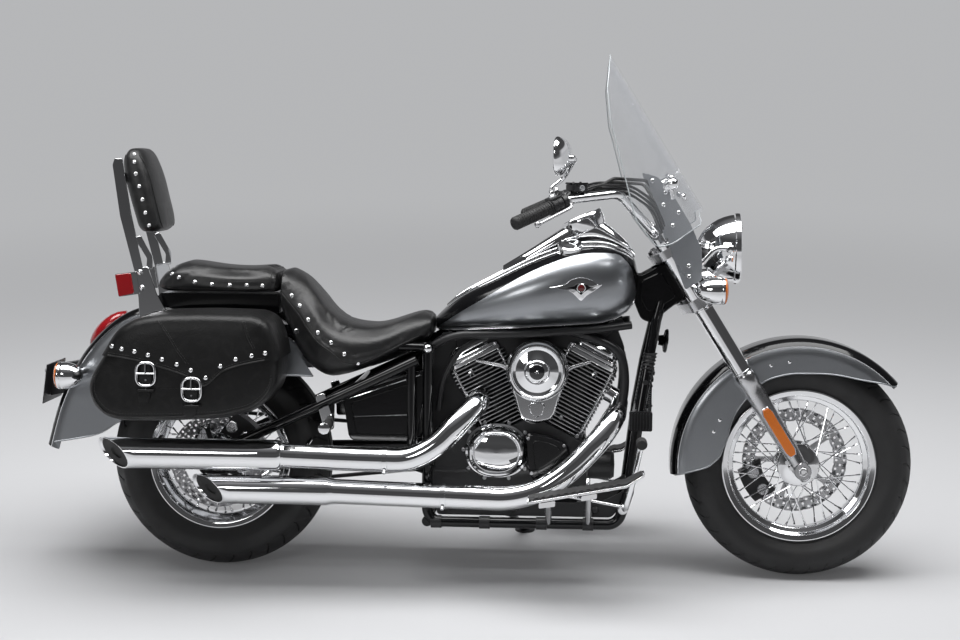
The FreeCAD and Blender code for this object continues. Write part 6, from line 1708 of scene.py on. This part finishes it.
for side, word in ((-1, "right"), (1, "left")):
    tub = make("bag_shell_" + word, "chassis", bag_hide_painted_shade,
        [turn_over(bag_solid(tub_line, outer_levels, 6), side)], stands_for="saddlebag_" + word)
    hollow = make("tool", "chassis", bag_hide_painted_shade, [turn_over(bag_solid(room_line, inner_levels, 6), side)])
    carve(tub, [hollow])
    back = plate([(-1030, 660), (-1016, 738), (-640, 738), (-624, 660)], 168, 173, 20, edge=1)
    make("bag_back_" + word, "chassis", bag_hide_painted_shade, [turn_over(back, side)])
    lid = make("bag_lid_shell_" + word, "bag_lid_" + word, bag_hide_painted_shade,
        [turn_over(bag_solid(lid_top, lid_levels, 6), side)], stands_for="bag_lid_" + word)
    hollow = make("tool", "chassis", bag_hide_painted_shade, [turn_over(bag_solid(lid_top, room_levels, 6), side)])
    below = flap_line + [(-590, 300), (-1250, 300), (-1250, 640)]
    apron = make("tool", "chassis", bag_hide_painted_shade, [turn_over(plate(below, 100, 420), side)])
    carve(lid, [hollow, apron])
    lid_face = Surface(lid)
    tub_face = Surface(tub)
    body = "bag_lid_" + word
    make("flap_nails_" + word, body, chrome, nailed(lid_face, flap_nails, side))
    edging = [seam(traced(lid_face, moved(flap_edge, 0, 3), side, 0.3), 2.2)]
    edging += [seam(traced(lid_face, line, side, 0.2), 1.2) for line in top_seams]
    make("flap_edging_" + word, body, welt, edging)
    sewing = []
    for line in [moved(flap_edge, 0, 10)] + [moved(line, 6, 0) for line in top_seams]:
        sewing += stitches(traced(lid_face, line, side, 0.3))
    make("flap_stitching_" + word, body, thread, sewing)
    make("bag_piping_" + word, "chassis", welt, [seam(traced(tub_face, bag_rim, side, 0.4), 2.6)])
    sewing_line = [(x + (6 if x < -1050 else 0), z + 8) for x, z in bag_rim]
    make("bag_stitching_" + word, "chassis", thread, stitches(traced(tub_face, sewing_line, side, 0.3)))
    straps = []
    buckles = []
    holes = []
    for x, z in ((-963, 577), (-839, 537)):
        drop = [(x + 3, z + 44), (x + 1, z + 20), (x, z), (x - 3, z - 30), (x - 7, z - 62)]
        lane = traced(tub_face, dense(drop, 4), side, 2.2)
        rings = []
        for k, spot in enumerate(lane):
            share = k / (len(lane) - 1)
            half = 17 - 7 * max(0.0, share - 0.86) / 0.14
            lift = side * (5.5 * max(0.0, 1 - abs(share - 0.36) / 0.3) + 1.0)
            rings.append([spot + Vector((a, b * side + lift, 0)) for a, b in ((-half, -2), (half, -2),
                (half, 1.4), (half - 1.5, 2.4), (1.5 - half, 2.4), (-half, 1.4))])
        straps.append(loft(rings))
        spot = lane[len(lane) // 3] + Vector((0, side * 9, 0))
        frame_line = [(spot.x + a, spot.y + side * abs(b) * -0.06, spot.z + b)
            for a, b in ((-25, -31), (25, -31), (25, 31), (-25, 31))]
        hoop = rounded(frame_line, 22, closed=True)
        rings = []
        for k, p in enumerate(hoop):
            way = (hoop[(k + 1) % len(hoop)] - hoop[k - 1]).normalized()
            out = Vector((way.z, 0, -way.x)).normalized()
            rings.append([p + out * a * 1.25 + Vector((0, b, 0)) for a, b in circle(3.0, 10)])
        buckles.append(loft(rings, loop=True))
        buckles.append(tube([spot + Vector((-25, 0, 2)), spot + Vector((25, 0, 2))], 2.6, 0, 10))
        buckles.append(tube([spot + Vector((0, side * 2, 3)), spot + Vector((0, side * 1, 33))], 2.2, 0, 8))
        keeper = [spot + Vector((a, side * b, -44)) for a, b in ((-20, -11), (-20, -1), (20, -1), (20, -11))]
        straps.append(tube(keeper, 3.6, 6, 8))
        for k in range(3):
            holes.append(turned(eyelet, spot + Vector((0, side * -2.2, -16 - 13 * k)), (0, side, 0), 10))
    make("bag_straps_" + word, "chassis", bag_hide_painted_shade, straps, smooth=50)
    make("bag_buckles_" + word, "chassis", chrome, buckles)
    make("strap_eyelets_" + word, "chassis", steel, holes)

# Photographer's floor: one wide sheet of pale paper lit where the bike stands; there it also shines
# faintly, painted light that lightens the bike's shadow. Further out its own colour takes over, so that
# it runs into the pale room with no edge from any side.
paper = bpy.data.materials.new("paper floor")
paper.use_nodes = True
tree = paper.node_tree
place = node(tree, "TexCoord", {})["Object"]
reach = node(tree, "VectorMath", {0: place}, operation="LENGTH")["Value"]
far = node(tree, "MapRange", {"Value": reach, "From Min": 1.2, "From Max": 6.0},
    interpolation_type="SMOOTHSTEP")["Result"]
across = node(tree, "SeparateXYZ", {"Vector": place})["Y"]
behind = node(tree, "MapRange", {"Value": across, "From Min": -4.0, "From Max": 3.0},
    interpolation_type="SMOOTHSTEP")["Result"]
lit = mixed(tree, far, (0.52, 0.524, 0.535, 1), (0, 0, 0, 1))
far_glow = mixed(tree, behind, (0.56, 0.56, 0.57, 1), (0.45, 0.455, 0.465, 1))
# Near the bike the paper shines faintly for the camera: painted light that lightens the bike's shadow.
# Further out this is the pale backdrop's own colour.
backdrop_glow_and_shadow_lift = mixed(tree, far, (0.05, 0.05, 0.051, 1), far_glow)
path = node(tree, "LightPath", {})
seen = path["Is Camera Ray"]
for ray in ("Is Glossy Ray", "Is Transmission Ray"):
    seen = node(tree, "Math", {0: seen, 1: path[ray]}, operation="MAXIMUM")["Value"]
feed(tree, tree.nodes["Principled BSDF"], {"Roughness": 0.8, "Base Color": lit, "Emission Color": backdrop_glow_and_shadow_lift,
    "Emission Strength": seen})
mesh = bpy.data.meshes.new("paper_floor")
mesh.from_pydata([(-40, -40, 0), (40, -40, 0), (40, 40, 0), (-40, 40, 0)], [], [(0, 1, 2, 3)])
mesh.materials.append(paper)
floor = bpy.data.objects.new("paper_floor", mesh)
bpy.context.scene.collection.objects.link(floor)


# Studio light: one wide soft box overhead and a small one beside the camera, in a room whose walls are
# pale where the camera looks and darker behind it, so that the chrome has something to mirror.
def soft_light(name, place, aim, size, power):
    lamp = bpy.data.lights.new(name, "AREA")
    lamp.shape = "RECTANGLE"
    lamp.size = size[0]
    lamp.size_y = size[1]
    lamp.energy = power
    holder = bpy.data.objects.new(name, lamp)
    holder.location = place
    holder.rotation_euler = (Vector(aim) - Vector(place)).to_track_quat("-Z", "Y").to_euler()
    bpy.context.scene.collection.objects.link(holder)


soft_light("overhead", (0, -0.2, 4.2), (0, 0.1, 0), (6.5, 2.4), 310)
soft_light("camera side", (-2.6, -5.4, 3.4), (0, 0, 0.5), (2.0, 1.2), 40)
world = bpy.data.worlds.new("studio")
bpy.context.scene.world = world
world.use_nodes = True
tree = world.node_tree
way = node(tree, "SeparateXYZ", {"Vector": node(tree, "TexCoord", {})["Generated"]})
height = node(tree, "MapRange", {"Value": way["Z"], "From Min": -1})["Result"]
ahead = node(tree, "MapRange", {"Value": way["Y"], "From Min": -0.35, "From Max": 0.15},
    interpolation_type="SMOOTHSTEP")["Result"]
ceiling = [(0.64, 0.06), (0.8, 0.05), (0.93, 0.16), (1, 0.5)]
near_wall = [(0, 0.3), (0.49, 0.56), (0.508, 0.14), (0.56, 0.05)] + ceiling
far_wall = [(0, 0.3), (0.49, 0.45), (0.51, 0.45), (0.545, 0.54), (0.6, 0.5)] + ceiling
walls = []
for levels in (near_wall, far_wall):
    colour = node(tree, "ValToRGB", {"Fac": height})["Color"]
    stops = colour.node.color_ramp.elements
    while len(stops) < len(levels):
        stops.new(0.5)
    for stop, (up_to, level) in zip(stops, levels):
        stop.position = up_to
        stop.color = (level, level, level * 1.03, 1)
    walls.append(colour)
feed(tree, tree.nodes["Background"], {"Color": mixed(tree, ahead, *walls)})

# Camera: a long lens a little above the tank, square to the bike's right side, as the photograph was taken.
camera_data = bpy.data.cameras.new("camera")
camera_data.lens = 68.5
camera_data.sensor_width = 36
camera = bpy.data.objects.new("camera", camera_data)
camera.location = lean((198, -5192, 1177))
turn = math.radians(3.12)
dip = math.radians(5.06)
look = Vector((-math.sin(turn) * math.cos(dip), math.cos(turn) * math.cos(dip), -math.sin(dip)))
camera.rotation_euler = (upright.to_3x3() @ look).to_track_quat("-Z", "Y").to_euler()
bpy.context.scene.collection.objects.link(camera)
bpy.context.scene.camera = camera
bpy.context.scene.view_settings.view_transform = "Standard"
